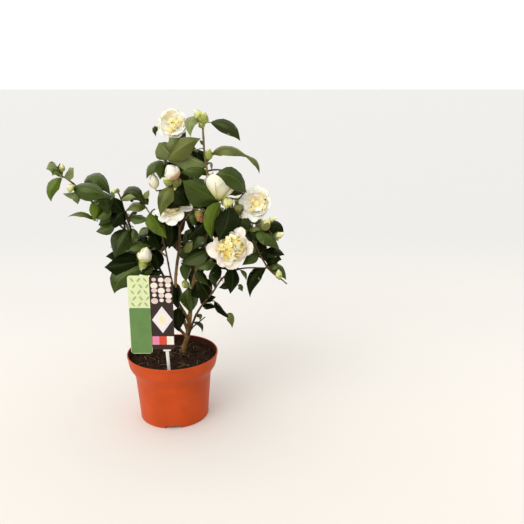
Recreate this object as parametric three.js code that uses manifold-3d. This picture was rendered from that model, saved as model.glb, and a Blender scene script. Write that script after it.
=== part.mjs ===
import * as THREE from 'three';
import { mergeVertices } from 'three/addons/utils/BufferGeometryUtils.js';
import Module from 'manifold-3d';

// A young camellia shrub in bud and bloom, grown on in a 17 cm nursery pot with its plant label.
// Millimetres, +Z up. The origin is the centre of the pot's flat underside, and -Y is the front.

// Driving sizes
const POT_HEIGHT = 127;
const POT_TOP_RADIUS = 85;
const POT_BAND_RADIUS = 81.5;
const POT_BAND_FOOT = 104;
const POT_BODY_TOP = 88;
const POT_BODY_TOP_RADIUS = 71.2;
const POT_FOOT_RADIUS = 64.7;
const POT_FOOT_ROUNDING = 5;
const POT_WALL = 2;
const POT_LIP = 3.2;
const POT_FLOOR = 2.4;
const POT_RIM_EDGE = 1;
const DRAIN_COUNT = 3;
const DRAIN_FIRST_ANGLE = -82;
const DRAIN_WIDTH = 28;
const DRAIN_HEIGHT = 5;
const DRAIN_INNER_RADIUS = 50;
const SOIL_LEVEL = 116;
const SOIL_CLEARANCE = 0.7;
const SOIL_BLOCK_SIDE = 400;
const LABEL = {
  left: -64,
  right: 14,
  split: -26,
  top: 296,
  foot: 151,
  splitFoot: 159,
  front: -65.8,
  thick: 0.8,
  corner: 5,
};
const STAKE = {
  x: -0.4,
  width: 6,
  thick: 1.2,
  foot: 62,
  top: 225,
  lean: 3,
  shoulder: 158.7,
  shoulderWidth: 15,
  shoulderHeight: 3.2,
};
const GAP = 0.3;
const POT_SIDES = 32;
const LIMB_SIDES = 6;
const WELD = 1e-4;

const wasm = await Module();
wasm.setup();

// Solids: closed meshes that can be joined and cut

function toSolid(geometry) {
  const plain = geometry.index ? geometry.clone() : geometry;
  plain.deleteAttribute('normal');
  plain.deleteAttribute('uv');
  const merged = mergeVertices(plain, WELD);
  const mesh = new wasm.Mesh({
    numProp: 3,
    vertProperties: new Float32Array(merged.attributes.position.array),
    triVerts: new Uint32Array(merged.index.array),
  });
  return new wasm.Manifold(mesh);
}

function toGeometry(solid) {
  const mesh = solid.getMesh();
  const geometry = new THREE.BufferGeometry();
  geometry.setAttribute('position', new THREE.BufferAttribute(new Float32Array(mesh.vertProperties), 3));
  geometry.setIndex(new THREE.BufferAttribute(new Uint32Array(mesh.triVerts), 1));
  geometry.computeVertexNormals();
  return geometry;
}

function largestPiece(solid) {
  const pieces = solid.decompose();
  return pieces.reduce((best, piece) => (piece.volume() > best.volume() ? piece : best));
}

function cut(solid, tools) {
  const rest = tools.reduce((left, tool) => left.subtract(tool), solid);
  return largestPiece(rest);
}

function box(width, depth, height, x, y, z) {
  return toSolid(new THREE.BoxGeometry(width, depth, height).translate(x, y, z));
}

function lathe(profile, sides) {
  const points = profile.map(([radius, height]) => new THREE.Vector2(radius, height));
  return toSolid(new THREE.LatheGeometry(points, sides).rotateX(Math.PI / 2));
}

// Pot: a turned shell with a rim band, a sloping shoulder, and drain slots across its foot

function potBodyRadius(height) {
  return POT_FOOT_RADIUS + ((POT_BODY_TOP_RADIUS - POT_FOOT_RADIUS) * height) / POT_BODY_TOP;
}

// The inside of the wall at a height below the band's foot, or between there and the rim
function potInnerRadius(height) {
  if (height <= POT_BODY_TOP) {
    return potBodyRadius(height) - POT_WALL;
  }
  const bandInner = POT_BAND_RADIUS - POT_WALL;
  const rimInner = POT_TOP_RADIUS - POT_LIP;
  return bandInner + ((rimInner - bandInner) * (height - POT_BAND_FOOT)) / (POT_HEIGHT - POT_BAND_FOOT);
}

// The rounded edge of the foot: three points of a quarter circle
function footEdge() {
  return [0, 45, 90].map((degrees) => {
    const angle = THREE.MathUtils.degToRad(degrees);
    const height = POT_FOOT_ROUNDING * (1 - Math.cos(angle));
    return [potBodyRadius(height) - POT_FOOT_ROUNDING * (1 - Math.sin(angle)), height];
  });
}

function makePot() {
  const profile = [
    [0, 0],
    ...footEdge(),
    [POT_BODY_TOP_RADIUS, POT_BODY_TOP],
    [POT_BAND_RADIUS, POT_BAND_FOOT],
    [POT_TOP_RADIUS, POT_HEIGHT - POT_RIM_EDGE],
    [POT_TOP_RADIUS - POT_RIM_EDGE, POT_HEIGHT],
    [potInnerRadius(POT_HEIGHT), POT_HEIGHT],
    [potInnerRadius(POT_BAND_FOOT), POT_BAND_FOOT],
    [potInnerRadius(POT_BODY_TOP), POT_BODY_TOP],
    [potInnerRadius(POT_FLOOR), POT_FLOOR],
    [0, POT_FLOOR],
  ];
  const slots = [];
  const reach = POT_FOOT_RADIUS + 4 - DRAIN_INNER_RADIUS;
  for (let i = 0; i < DRAIN_COUNT; i += 1) {
    const angle = THREE.MathUtils.degToRad(DRAIN_FIRST_ANGLE + (360 * i) / DRAIN_COUNT);
    const slot = new THREE.BoxGeometry(reach, DRAIN_WIDTH, 2 * DRAIN_HEIGHT);
    slot.translate(DRAIN_INNER_RADIUS + reach / 2, 0, 0).rotateZ(angle);
    slots.push(toSolid(slot));
  }
  return cut(lathe(profile, POT_SIDES), slots);
}

// Compost: fills the pot up to the soil level, clear of the wall, with a slit for the label's stake

function makeCompost(stakeHole) {
  const foot = DRAIN_HEIGHT + GAP;
  const wall = [foot, POT_BODY_TOP, POT_BAND_FOOT, SOIL_LEVEL].map((height) => [
    potInnerRadius(height) - SOIL_CLEARANCE,
    height,
  ]);
  return cut(lathe([[0, foot], ...wall, [0, SOIL_LEVEL]], POT_SIDES), [stakeHole]);
}

// Label: a plain card in two panels, held up by a flat stake with shoulders

function roundedCard() {
  const { left, right, split, top, foot, splitFoot, corner } = LABEL;
  const outline = new THREE.Shape();
  outline.moveTo(left, foot);
  outline.lineTo(split, foot);
  outline.lineTo(split, splitFoot);
  outline.lineTo(right, splitFoot);
  outline.lineTo(right, top - corner);
  outline.absarc(right - corner, top - corner, corner, 0, Math.PI / 2, false);
  outline.absarc(left + corner, top - corner, corner, Math.PI / 2, Math.PI, false);
  outline.closePath();
  const sheet = { depth: LABEL.thick, bevelEnabled: false, curveSegments: 3 };
  const card = new THREE.ExtrudeGeometry(outline, sheet);
  card.rotateX(Math.PI / 2).translate(0, LABEL.front + LABEL.thick, 0);
  return toSolid(card);
}

// The blade leans about the shoulder. Its shelf comes forward under the card.
function makeStake(grow) {
  const { x, width, thick, foot, shoulder, shoulderWidth, shoulderHeight, top } = STAKE;
  const y = LABEL.front + LABEL.thick + GAP + thick / 2;
  const blade = new THREE.BoxGeometry(width + 2 * grow, thick + 2 * grow, top - foot + 2 * grow);
  blade.translate(0, 0, (top + foot) / 2 - shoulder);
  blade.rotateY(THREE.MathUtils.degToRad(-STAKE.lean));
  blade.translate(x, y, shoulder);
  const depth = thick + GAP + LABEL.thick;
  const shelfY = y - (depth - thick) / 2;
  const shelf = box(shoulderWidth, depth, shoulderHeight, x, shelfY, shoulder - shoulderHeight / 2);
  return toSolid(blade).add(shelf);
}

// Limb: a closed cylinder bent along a route, tapering from root to tip. The root can flare.

const FLARE_LENGTH = 9;

function limb({ route, thick, flare = 0, steps = 2 * route.length }, grow = 0) {
  const stops = route.map((point) => new THREE.Vector3(...point));
  const curve = new THREE.CatmullRomCurve3(stops, false, 'centripetal');
  const frames = curve.computeFrenetFrames(steps, false);
  const geometry = new THREE.CylinderGeometry(1, 1, 1, LIMB_SIDES, steps);
  const place = geometry.attributes.position;
  const point = new THREE.Vector3();
  for (let i = 0; i < place.count; i += 1) {
    const share = place.getY(i) + 0.5;
    const level = Math.round(share * steps);
    const [root, tip] = thick;
    const swell = flare * Math.exp((-share * curve.getLength()) / FLARE_LENGTH);
    const radius = (root + (tip - root) * share) / 2 + swell + grow;
    curve.getPointAt(share, point);
    point.addScaledVector(frames.normals[level], radius * place.getX(i));
    point.addScaledVector(frames.binormals[level], -radius * place.getZ(i));
    point.addScaledVector(frames.tangents[level], grow * (2 * share - 1));
    place.setXYZ(i, point.x, point.y, point.z);
  }
  return toSolid(geometry);
}

// Foliage mass: a ball drawn out to its half-sizes, roughened by two crossing waves and a finer
// ripple, and pulled out in a lobe to each tip that its leaves reach

const FIRST_WAVE = new THREE.Vector3(3.1, 0, 2.3);
const SECOND_WAVE = new THREE.Vector3(-1.9, 2.7, 0);
const RIPPLE_WAVE = new THREE.Vector3(0, 6.3, 4.1);
const RIPPLE_SHARE = 0.5;
const LOBE_SPREAD = 0.5;

function foliage({ centre, half, tips = [], rough = 0.13, turn = 0, detail = 2 }, grow = 0) {
  const geometry = new THREE.IcosahedronGeometry(1, detail);
  geometry.deleteAttribute('normal');
  geometry.deleteAttribute('uv');
  const ball = mergeVertices(geometry, WELD);
  const place = ball.attributes.position;
  const middle = new THREE.Vector3(...centre);
  const arms = tips.map((tip) => new THREE.Vector3(...tip).sub(middle));
  const way = new THREE.Vector3();
  for (let i = 0; i < place.count; i += 1) {
    way.fromBufferAttribute(place, i).normalize();
    const waves = Math.sin(way.dot(FIRST_WAVE) + turn) * Math.cos(way.dot(SECOND_WAVE) + 2 * turn);
    const ripple = Math.sin(way.dot(RIPPLE_WAVE) + 3 * turn);
    const bulge = 1 + rough * (waves + RIPPLE_SHARE * ripple);
    let reach = bulge / Math.hypot(way.x / half[0], way.y / half[1], way.z / half[2]);
    for (const arm of arms) {
      const length = arm.length();
      const angle = way.angleTo(arm);
      const pull = Math.exp(-((angle / LOBE_SPREAD) ** 2));
      reach = Math.max(reach, reach + (length - reach) * pull);
    }
    way.multiplyScalar(reach + grow).add(middle);
    place.setXYZ(i, way.x, way.y, way.z);
  }
  return toSolid(ball);
}

// The limbs, root first. Each route runs from its parent's middle to where it enters its foliage.

const LIMBS = {
  trunk: {
    route: [[16, 22, 105], [20, 22, 128], [27, 22, 151], [31, 20, 178], [39, 16, 243], [49, 12, 287],
      [66, 6, 342], [76, 2, 389], [73, -2, 466], [69, -2, 504], [67, 0, 550]],
    thick: [10.6, 3.4],
    flare: 1.2,
    steps: 20,
  },
  stem_middle: {
    route: [[28, 21, 160], [11, 14, 216], [9, 6, 260], [16, -4, 326], [23, -10, 372]],
    thick: [7.5, 4.6],
  },
  stem_left: {
    route: [[11, 14, 216], [2, 2, 273], [-3, -12, 324], [-8, -20, 362]],
    thick: [5.4, 4],
  },
  bough_left: {
    route: [[25, 22, 146], [-15, 22, 198], [-39, 16, 250], [-50, 8, 296], [-61, -2, 348],
      [-75, -12, 405]],
    thick: [6.6, 3.6],
  },
  bough_far_left: {
    route: [[-61, -2, 346], [-89, -20, 383], [-121, -30, 415], [-150, -38, 450]],
    thick: [3.8, 2.8],
  },
  bough_right: {
    route: [[28, 20, 152], [42, 5, 196], [61, -10, 225], [79, -22, 250], [101, -30, 283], [130, -38, 300],
      [179, -45, 304]],
    thick: [6.6, 3],
  },
  bough_right_upper: {
    route: [[179, -45, 304], [167, -46, 326], [155, -44, 354], [152, -38, 380]],
    thick: [3.2, 2.8],
  },
  bough_front: {
    route: [[56, 9, 310], [80, -20, 322], [103, -48, 336]],
    thick: [4.6, 3.4],
  },
  bough_shoulder: {
    route: [[76, 2, 395], [88, -12, 412], [100, -22, 428]],
    thick: [4, 3],
  },
  bough_back_left: {
    route: [[31, 20, 178], [-2, 48, 226], [-34, 74, 276], [-46, 84, 300]],
    thick: [6.4, 4],
  },
  bough_back_right: {
    route: [[43, 14, 262], [78, 44, 300], [108, 66, 340]],
    thick: [5.4, 3.6],
  },
  bough_back_middle: {
    route: [[34, 18, 215], [42, 60, 262], [48, 88, 300]],
    thick: [5.4, 3.6],
  },
  bough_back_centre: {
    route: [[16, -4, 326], [11, 30, 350], [14, 62, 378]],
    thick: [4.2, 3],
  },
  bough_back_top: {
    route: [[76, 2, 400], [58, 34, 432], [40, 54, 460]],
    thick: [4.4, 3],
  },
};

// The limb that each bough springs from
const PARENTS = {
  stem_middle: ['trunk'],
  stem_left: ['stem_middle', 'trunk'],
  bough_left: ['trunk', 'stem_middle', 'stem_left'],
  bough_far_left: ['bough_left'],
  bough_right: ['trunk'],
  bough_right_upper: ['bough_right'],
  bough_front: ['trunk'],
  bough_shoulder: ['trunk'],
  bough_back_left: ['trunk', 'stem_middle', 'bough_left'],
  bough_back_right: ['trunk'],
  bough_back_middle: ['trunk'],
  bough_back_centre: ['stem_middle'],
  bough_back_top: ['trunk'],
};

// The foliage masses, with the leaf tips that each one reaches. Where two meet, the earlier one
// keeps its shape.

const FOLIAGE = {
  foliage_top: {
    centre: [70, -2, 541],
    half: [19, 20, 22],
    tips: [[132, -10, 523], [58, 0, 574], [42, -20, 540], [76, 42, 535]],
    turn: 0.4,
  },
  foliage_top_right: {
    centre: [112, -5, 495],
    half: [26, 20, 13],
    tips: [[162, -5, 469], [72, -3, 487]],
    turn: 1.2,
  },
  foliage_top_left: {
    centre: [19, 4, 524],
    half: [30, 28, 34],
    tips: [[-18, 5, 545], [62, -5, 526], [18, -38, 510]],
    turn: 2.2,
    detail: 3,
  },
  foliage_upper: {
    centre: [25, -5, 472],
    half: [40, 40, 24],
    tips: [[-35, -12, 468], [-12, -25, 449]],
    turn: 3.1,
    detail: 3,
  },
  foliage_middle_left: {
    centre: [13, -20, 413],
    half: [31, 36, 33],
    tips: [[5, -36, 356]],
    turn: 4.3,
    detail: 3,
  },
  foliage_far_left: {
    centre: [-128, -34, 434],
    half: [34, 24, 24],
    tips: [[-195, -42, 478], [-190, -42, 421], [-167, -30, 393], [-150, -38, 478]],
    turn: 5.1,
    detail: 3,
  },
  foliage_left: {
    centre: [-80, -12, 396],
    half: [38, 36, 28],
    tips: [[-64, -10, 444], [-125, -18, 362], [-30, -10, 405]],
    turn: 0.9,
    detail: 3,
  },
  foliage_lower_left: {
    centre: [-60, -14, 314],
    half: [44, 38, 38],
    tips: [[-114, -20, 300], [-93, -26, 251], [-8, -20, 352]],
    turn: 1.7,
    detail: 3,
  },
  foliage_centre: {
    centre: [58, -20, 308],
    half: [33, 34, 42],
    tips: [[38, -32, 372], [78, -40, 262]],
    turn: 2.6,
    detail: 3,
  },
  foliage_shoulder: {
    centre: [110, -26, 446],
    half: [31, 32, 28],
    tips: [[142, -26, 433], [86, -34, 470]],
    turn: 3.7,
  },
  foliage_middle_right: {
    centre: [92, -48, 392],
    half: [30, 30, 32],
    tips: [[84, -78, 352]],
    turn: 4.8,
  },
  bloom_front: {
    centre: [116, -82, 348],
    half: [40, 27, 39],
    rough: 0.05,
    turn: 5.6,
    detail: 3,
  },
  foliage_right: {
    centre: [168, -26, 412],
    half: [31, 32, 31],
    tips: [[206, -34, 366], [150, 10, 440]],
    turn: 0.2,
  },
  foliage_lower_right: {
    centre: [172, -40, 342],
    half: [34, 32, 28],
    tips: [[148, -50, 252], [217, -44, 363], [211, -50, 282]],
    turn: 1.1,
    detail: 3,
  },
  foliage_low_right: {
    centre: [108, -32, 275],
    half: [23, 24, 18],
    tips: [[121, -44, 191], [114, -46, 257], [142, -34, 262]],
    turn: 2,
  },
  foliage_low: {
    centre: [30, -16, 232],
    half: [24, 26, 28],
    tips: [[16, -14, 174], [60, -16, 208]],
    turn: 2.9,
  },
  foliage_back_top: {
    centre: [22, 66, 480],
    half: [36, 34, 38],
    tips: [[6, 104, 500], [60, 84, 496]],
    turn: 3.8,
  },
  foliage_back_left: {
    centre: [-52, 88, 332],
    half: [46, 42, 42],
    tips: [[-98, 112, 352], [-46, 138, 300]],
    turn: 4.7,
  },
  foliage_back_middle: {
    centre: [20, 92, 398],
    half: [44, 42, 38],
    tips: [[12, 144, 410], [-34, 108, 424]],
    turn: 5.5,
  },
  foliage_back_low: {
    centre: [58, 98, 312],
    half: [40, 38, 40],
    tips: [[60, 150, 300], [52, 122, 246]],
    turn: 0.7,
  },
  foliage_back_right: {
    centre: [128, 74, 380],
    half: [42, 38, 42],
    tips: [[172, 92, 366], [138, 124, 392]],
    turn: 1.9,
  },
};

// Build order: pot, compost and label first, then the limbs, then the foliage cut round them

const stake = makeStake(0);
const limbs = {};
const limbRoom = {};
const soilBlock = box(SOIL_BLOCK_SIDE, SOIL_BLOCK_SIDE, 2 * SOIL_LEVEL, 0, 0, GAP);
for (const [name, sizes] of Object.entries(LIMBS)) {
  const parents = (PARENTS[name] ?? []).map((parent) => limbRoom[parent]);
  limbs[name] = cut(limb(sizes), [...parents, soilBlock]);
  limbRoom[name] = limb(sizes, GAP);
}

const masses = {};
const massRoom = {};
const stemsRoom = Object.values(limbRoom);
for (const [name, sizes] of Object.entries(FOLIAGE)) {
  masses[name] = cut(foliage(sizes), [...stemsRoom, ...Object.values(massRoom)]);
  massRoom[name] = foliage(sizes, 2 * GAP);
}

// Finishes

const finish = (color, roughness) => new THREE.MeshStandardMaterial({ color, roughness, metalness: 0 });
const terracotta = finish(0xc05428, 0.55);
const peat = finish(0x2a1c12, 0.95);
const bark = finish(0x7a5232, 0.85);
const leafGreen = finish(0x34501f, 0.4);
const petalCream = finish(0xf0e6bf, 0.6);
const cardGreen = finish(0xb4c48a, 0.5);
const stakeWhite = finish(0xe8e4dc, 0.4);

const camellia = new THREE.Group();

function addPart(name, solid, material) {
  const mesh = new THREE.Mesh(toGeometry(solid), material);
  mesh.name = name;
  camellia.add(mesh);
}

addPart('pot', makePot(), terracotta);
addPart('compost', makeCompost(makeStake(GAP)), peat);
addPart('label_card', roundedCard(), cardGreen);
addPart('label_stake', stake, stakeWhite);
for (const [name, solid] of Object.entries(limbs)) {
  addPart(name, solid, bark);
}
for (const [name, solid] of Object.entries(masses)) {
  addPart(name, solid, name.startsWith('bloom') ? petalCream : leafGreen);
}

export default camellia;
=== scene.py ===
import math
import bpy
import numpy as np
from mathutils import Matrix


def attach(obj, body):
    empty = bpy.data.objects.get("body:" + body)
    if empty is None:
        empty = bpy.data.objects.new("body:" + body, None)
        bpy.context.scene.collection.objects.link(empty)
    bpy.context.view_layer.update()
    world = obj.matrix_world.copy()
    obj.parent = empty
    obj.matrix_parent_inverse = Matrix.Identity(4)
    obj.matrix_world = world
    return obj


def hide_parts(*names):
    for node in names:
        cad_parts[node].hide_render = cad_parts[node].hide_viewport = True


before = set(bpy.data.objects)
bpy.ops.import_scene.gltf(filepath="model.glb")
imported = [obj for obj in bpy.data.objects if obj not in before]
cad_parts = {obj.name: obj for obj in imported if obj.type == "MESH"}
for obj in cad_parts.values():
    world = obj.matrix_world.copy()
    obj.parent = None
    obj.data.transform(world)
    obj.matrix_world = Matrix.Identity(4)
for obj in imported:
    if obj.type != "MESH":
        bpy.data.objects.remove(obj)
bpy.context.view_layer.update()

metres = 0.001  # every size below is in millimetres until it goes into a mesh
goldenAngle = 2.39996  # radians from one leaf, petal or scale to the next round a spiral
roundTurn = 6.28  # radians once round, for random phases

# The picture's viewpoint: a level camera turned down a little, looking along +Y
sight = {"focal": 640.0, "pixels": 524, "sensor": 36.0, "down": 15.68, "place": (169.0, -1120.6, 616.6)}
middle = sight["pixels"] / 2
eye = np.array(sight["place"])
tilt = math.radians(sight["down"])


# A line of sight through a pixel of the picture, followed to the upright plane at that depth
def seen(across, down, depth):
    ahead = depth - eye[1]
    rise = ahead * math.tan(math.atan((middle - down) / sight["focal"]) - tilt)
    reach = ahead * math.cos(tilt) - rise * math.sin(tilt)
    return np.array([eye[0] + (across - middle) / sight["focal"] * reach, depth, eye[2] + rise])


# The pixel that a point shows at
def pictured(points):
    away = points - eye
    reach = away[..., 1] * math.cos(tilt) - away[..., 2] * math.sin(tilt)
    lift = away[..., 1] * math.sin(tilt) + away[..., 2] * math.cos(tilt)
    offset = sight["focal"] * np.stack([away[..., 0], -lift], -1) / reach[..., None]
    return middle + offset


# How far in front of the viewpoint a point is
def reachOf(points):
    away = points - eye
    return away[..., 1] * math.cos(tilt) - away[..., 2] * math.sin(tilt)


# Directions cut or stretched to a length of one
def unit(v):
    v = np.asarray(v, float)
    return v / np.maximum(np.linalg.norm(v, axis=-1, keepdims=True), 1e-9)


# Two directions square to one another and to the first
def square(direction, lean=(0.31, 0.87, 0.22)):
    side = unit(np.cross(direction, lean))
    return side, np.cross(direction, side)


camera = bpy.data.objects.new("camera", bpy.data.cameras.new("camera"))
camera.data.sensor_width = sight["sensor"]
camera.data.lens = sight["focal"] / sight["pixels"] * sight["sensor"]
camera.data.clip_end = 100
camera.location = eye * metres
camera.rotation_euler = (math.radians(90) - tilt, 0, 0)
bpy.context.scene.collection.objects.link(camera)
bpy.context.scene.camera = camera


# Shapes are points with faces of four corners, -1 in the last place closing a triangle

# Neighbours on a grid of point numbers
def quads(index):
    return np.stack([index[:-1, :-1], index[:-1, 1:], index[1:, 1:], index[1:, :-1]], -1).reshape(-1, 4)


# A row of point numbers drawn together to one point
def fan(row, pole):
    return np.stack([row[:-1], row[1:], np.full(len(row) - 1, pole), np.full(len(row) - 1, -1)], -1)


# The signed volume over all faces tells which way they point
def shape(points, faces, finish=0, chart=None):
    p = points - points.mean(0)
    a, b, c = p[faces[:, 0]], p[faces[:, 1]], p[faces[:, 2]]
    d = p[np.where(faces[:, 3] < 0, faces[:, 2], faces[:, 3])]
    volume = np.einsum("ij,ij->", a, np.cross(b, c) + np.cross(c, d))
    if volume < 0:
        triangle = faces[:, 3:] < 0
        faces = np.where(triangle, faces[:, [2, 1, 0, 3]], faces[:, [3, 2, 1, 0]])
    finish = np.broadcast_to(np.asarray(finish, int), len(faces))
    return {"points": points, "faces": faces, "finish": finish, "chart": chart}


# Rings of points round a path, closed by a fan at both ends
def capped(rings, finish=0, endFinish=None):
    rows, sides = rings.shape[:2]
    points = np.concatenate([rings.reshape(-1, 3), rings[[0, -1]].mean(1)])
    index = np.arange(rows * sides).reshape(rows, sides)
    index = np.concatenate([index, index[:, :1]], 1)
    faces = [quads(index), fan(index[0, ::-1], rows * sides), fan(index[-1], rows * sides + 1)]
    kinds = np.broadcast_to(np.asarray(finish, int).reshape(-1, 1), (rows - 1, sides)).reshape(-1)
    ends = np.full(2 * sides, kinds[-1] if endFinish is None else endFinish)
    return shape(points, np.concatenate(faces), np.concatenate([kinds, ends]))


# A thin closed blade: an upper and an under skin share both rims, the foot point and the tip point
def blade(foot, upper, under, tip, finishUpper, finishUnder, charts=None):
    rows, columns = upper.shape[:2]
    inner = under.shape[1] - 2
    points = np.concatenate([upper.reshape(-1, 3), under[:, 1:-1].reshape(-1, 3), [foot], [tip]])
    above = np.arange(rows * columns).reshape(rows, columns)
    below = rows * columns + np.arange(rows * inner).reshape(rows, inner)
    below = np.concatenate([above[:, :1], below, above[:, -1:]], 1)[:, ::-1]
    last = len(points) - 1
    faces = [quads(above), fan(above[0, ::-1], last - 1), fan(above[-1], last)]
    faces += [quads(below), fan(below[0, ::-1], last - 1), fan(below[-1], last)]
    width = columns - 1
    strip = np.broadcast_to(np.asarray(finishUpper, int), width)
    kinds = [np.tile(strip, rows - 1), strip[::-1], strip, np.full((rows + 1) * (inner + 1), finishUnder)]
    return shape(points, np.concatenate(faces), np.concatenate(kinds), charts)


# Joins shapes into one mesh piece that rides on the plant's only body
def makePiece(name, shapes, finishes, replaced=(), crease=55):
    counts = np.cumsum([0] + [len(s["points"]) for s in shapes])
    points = np.concatenate([s["points"] for s in shapes]) * metres
    faces = np.concatenate([np.where(s["faces"] < 0, -1, s["faces"] + n) for s, n in zip(shapes, counts)])
    kinds = np.concatenate([s["finish"] for s in shapes])
    corners = faces.reshape(-1)
    corners = corners[corners >= 0].astype(np.int32)
    sizes = (faces >= 0).sum(1)
    mesh = bpy.data.meshes.new(name)
    mesh.vertices.add(len(points))
    mesh.vertices.foreach_set("co", points.astype(np.float32).reshape(-1))
    mesh.loops.add(len(corners))
    mesh.loops.foreach_set("vertex_index", corners)
    mesh.polygons.add(len(faces))
    mesh.polygons.foreach_set("loop_start", (np.cumsum(sizes) - sizes).astype(np.int32))
    mesh.polygons.foreach_set("loop_total", sizes.astype(np.int32))
    mesh.polygons.foreach_set("material_index", kinds.astype(np.int32))
    mesh.polygons.foreach_set("use_smooth", np.ones(len(faces), bool))
    if shapes[0]["chart"] is not None:
        chart = [np.zeros((len(s["points"]), 2)) if s["chart"] is None else s["chart"] for s in shapes]
        chart = np.concatenate(chart)
        layer = mesh.uv_layers.new(name="chart")
        layer.data.foreach_set("uv", chart[corners].astype(np.float32).reshape(-1))
    mesh.update(calc_edges=True)
    mesh.validate()
    mesh.set_sharp_from_angle(angle=math.radians(crease))
    for finish in finishes:
        mesh.materials.append(finish)
    piece = bpy.data.objects.new(name, mesh)
    bpy.context.scene.collection.objects.link(piece)
    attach(piece, "root")
    if replaced:
        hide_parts(*replaced)
    return piece


# Finishes

# A new node in a material or world, with some of its sockets set
def addNode(made, kind, **sockets):
    node = made.node_tree.nodes.new("ShaderNode" + kind)
    for socket, value in sockets.items():
        node.inputs[socket.replace("_", " ")].default_value = value
    return node


# A shader with a mottled colour, an uneven gloss and a fine relief, all on Object coordinates
def finish(name, colour, dark=0.8, light=1.15, mottle=60, rough=(0.4, 0.55), relief=0.15, grain=400,
           depth=0.0004, stretch=(1, 1, 1), **sockets):
    made = bpy.data.materials.new(name)
    made.use_nodes = True
    shader = made.node_tree.nodes["Principled BSDF"]
    link = made.node_tree.links.new
    place = addNode(made, "TexCoord")
    mapping = addNode(made, "Mapping", Scale=stretch)
    link(place.outputs["Object"], mapping.inputs["Vector"])
    patches = addNode(made, "TexNoise", Scale=mottle, Detail=4)
    link(mapping.outputs["Vector"], patches.inputs["Vector"])
    ramp = addNode(made, "ValToRGB")
    for stop, position, shade in zip(ramp.color_ramp.elements, (0.32, 0.68), (dark, light)):
        stop.position = position
        stop.color = [min(c * shade, 1) for c in colour] + [1]
    link(patches.outputs["Fac"], ramp.inputs["Fac"])
    link(ramp.outputs["Color"], shader.inputs["Base Color"])
    gloss = addNode(made, "MapRange", To_Min=rough[0], To_Max=rough[1], From_Min=0.3, From_Max=0.7)
    link(patches.outputs["Fac"], gloss.inputs["Value"])
    link(gloss.outputs["Result"], shader.inputs["Roughness"])
    fine = addNode(made, "TexNoise", Scale=grain, Detail=6)
    link(mapping.outputs["Vector"], fine.inputs["Vector"])
    bump = addNode(made, "Bump", Strength=relief, Distance=depth)
    link(fine.outputs["Fac"], bump.inputs["Height"])
    link(bump.outputs["Normal"], shader.inputs["Normal"])
    for socket, value in sockets.items():
        shader.inputs[socket.replace("_", " ")].default_value = value
    return made


# One step of arithmetic in a material
def sums(made, operation, *values):
    step = addNode(made, "Math")
    step.operation = operation
    for socket, value in zip(step.inputs, values):
        if isinstance(value, (int, float)):
            socket.default_value = value
        else:
            made.node_tree.links.new(value, socket)
    return step.outputs[0]


# A map range that turns low into first and high into last
def fade(made, value, low, high, first, last):
    step = addNode(made, "MapRange", From_Min=low, From_Max=high, To_Min=first, To_Max=last)
    made.node_tree.links.new(value, step.inputs["Value"])
    return step.outputs["Result"]


# Across and along the blade, 0 to 1, from its own map
def chartOf(made):
    chart = addNode(made, "UVMap")
    chart.uv_map = "chart"
    split = addNode(made, "SeparateXYZ")
    made.node_tree.links.new(chart.outputs["UV"], split.inputs[0])
    return split.outputs["X"], split.outputs["Y"]


# Puts a second colour over the mottled one wherever the share is near 1
def overlay(made, share, colour):
    nodes, links = made.node_tree.nodes, made.node_tree.links
    mix = addNode(made, "MixRGB", Color2=(*colour, 1))
    links.new(share, mix.inputs["Fac"])
    links.new(nodes["Color Ramp"].outputs["Color"], mix.inputs["Color1"])
    links.new(mix.outputs["Color"], nodes["Principled BSDF"].inputs["Base Color"])


# A second relief under the fine grain of the first
def emboss(made, height, strength, depth):
    nodes, links = made.node_tree.nodes, made.node_tree.links
    raised = addNode(made, "Bump", Strength=strength, Distance=depth)
    links.new(height, raised.inputs["Height"])
    links.new(nodes["Bump"].outputs["Normal"], raised.inputs["Normal"])
    links.new(raised.outputs["Normal"], nodes["Principled BSDF"].inputs["Normal"])


veinForm = {"pairs": 8, "slant": 2.6, "sideWidth": 0.07, "ribWidth": 0.036, "sideShare": 0.35, "press": 0.5}


# A midrib where across is near the middle, and side veins on slanting lines at even steps along the blade
def addVeins(made, paler, raised=False):
    across, along = chartOf(made)
    fromRib = sums(made, "ABSOLUTE", sums(made, "SUBTRACT", across, 0.5))
    climb = sums(made, "MULTIPLY", along, veinForm["pairs"])
    climb = sums(made, "SUBTRACT", climb, sums(made, "MULTIPLY", fromRib, veinForm["slant"]))
    side = fade(made, sums(made, "PINGPONG", climb, 0.5), 0, veinForm["sideWidth"], veinForm["sideShare"], 0)
    rib = fade(made, fromRib, veinForm["ribWidth"] * 0.5, veinForm["ribWidth"], 0.9, 0)
    line = sums(made, "MAXIMUM", side, rib)
    overlay(made, line, paler)
    emboss(made, sums(made, "MULTIPLY", line, 1 if raised else -1), veinForm["press"], 0.0006)
    return made


# Petals are deeper coloured at the foot, and finely ribbed along their length
def addFoot(made, colour, reach):
    across, along = chartOf(made)
    overlay(made, fade(made, along, 0.05, reach, 1, 0), colour)
    rib = sums(made, "SINE", sums(made, "MULTIPLY", across, 60))
    emboss(made, rib, 0.08, 0.0003)
    return made


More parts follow.
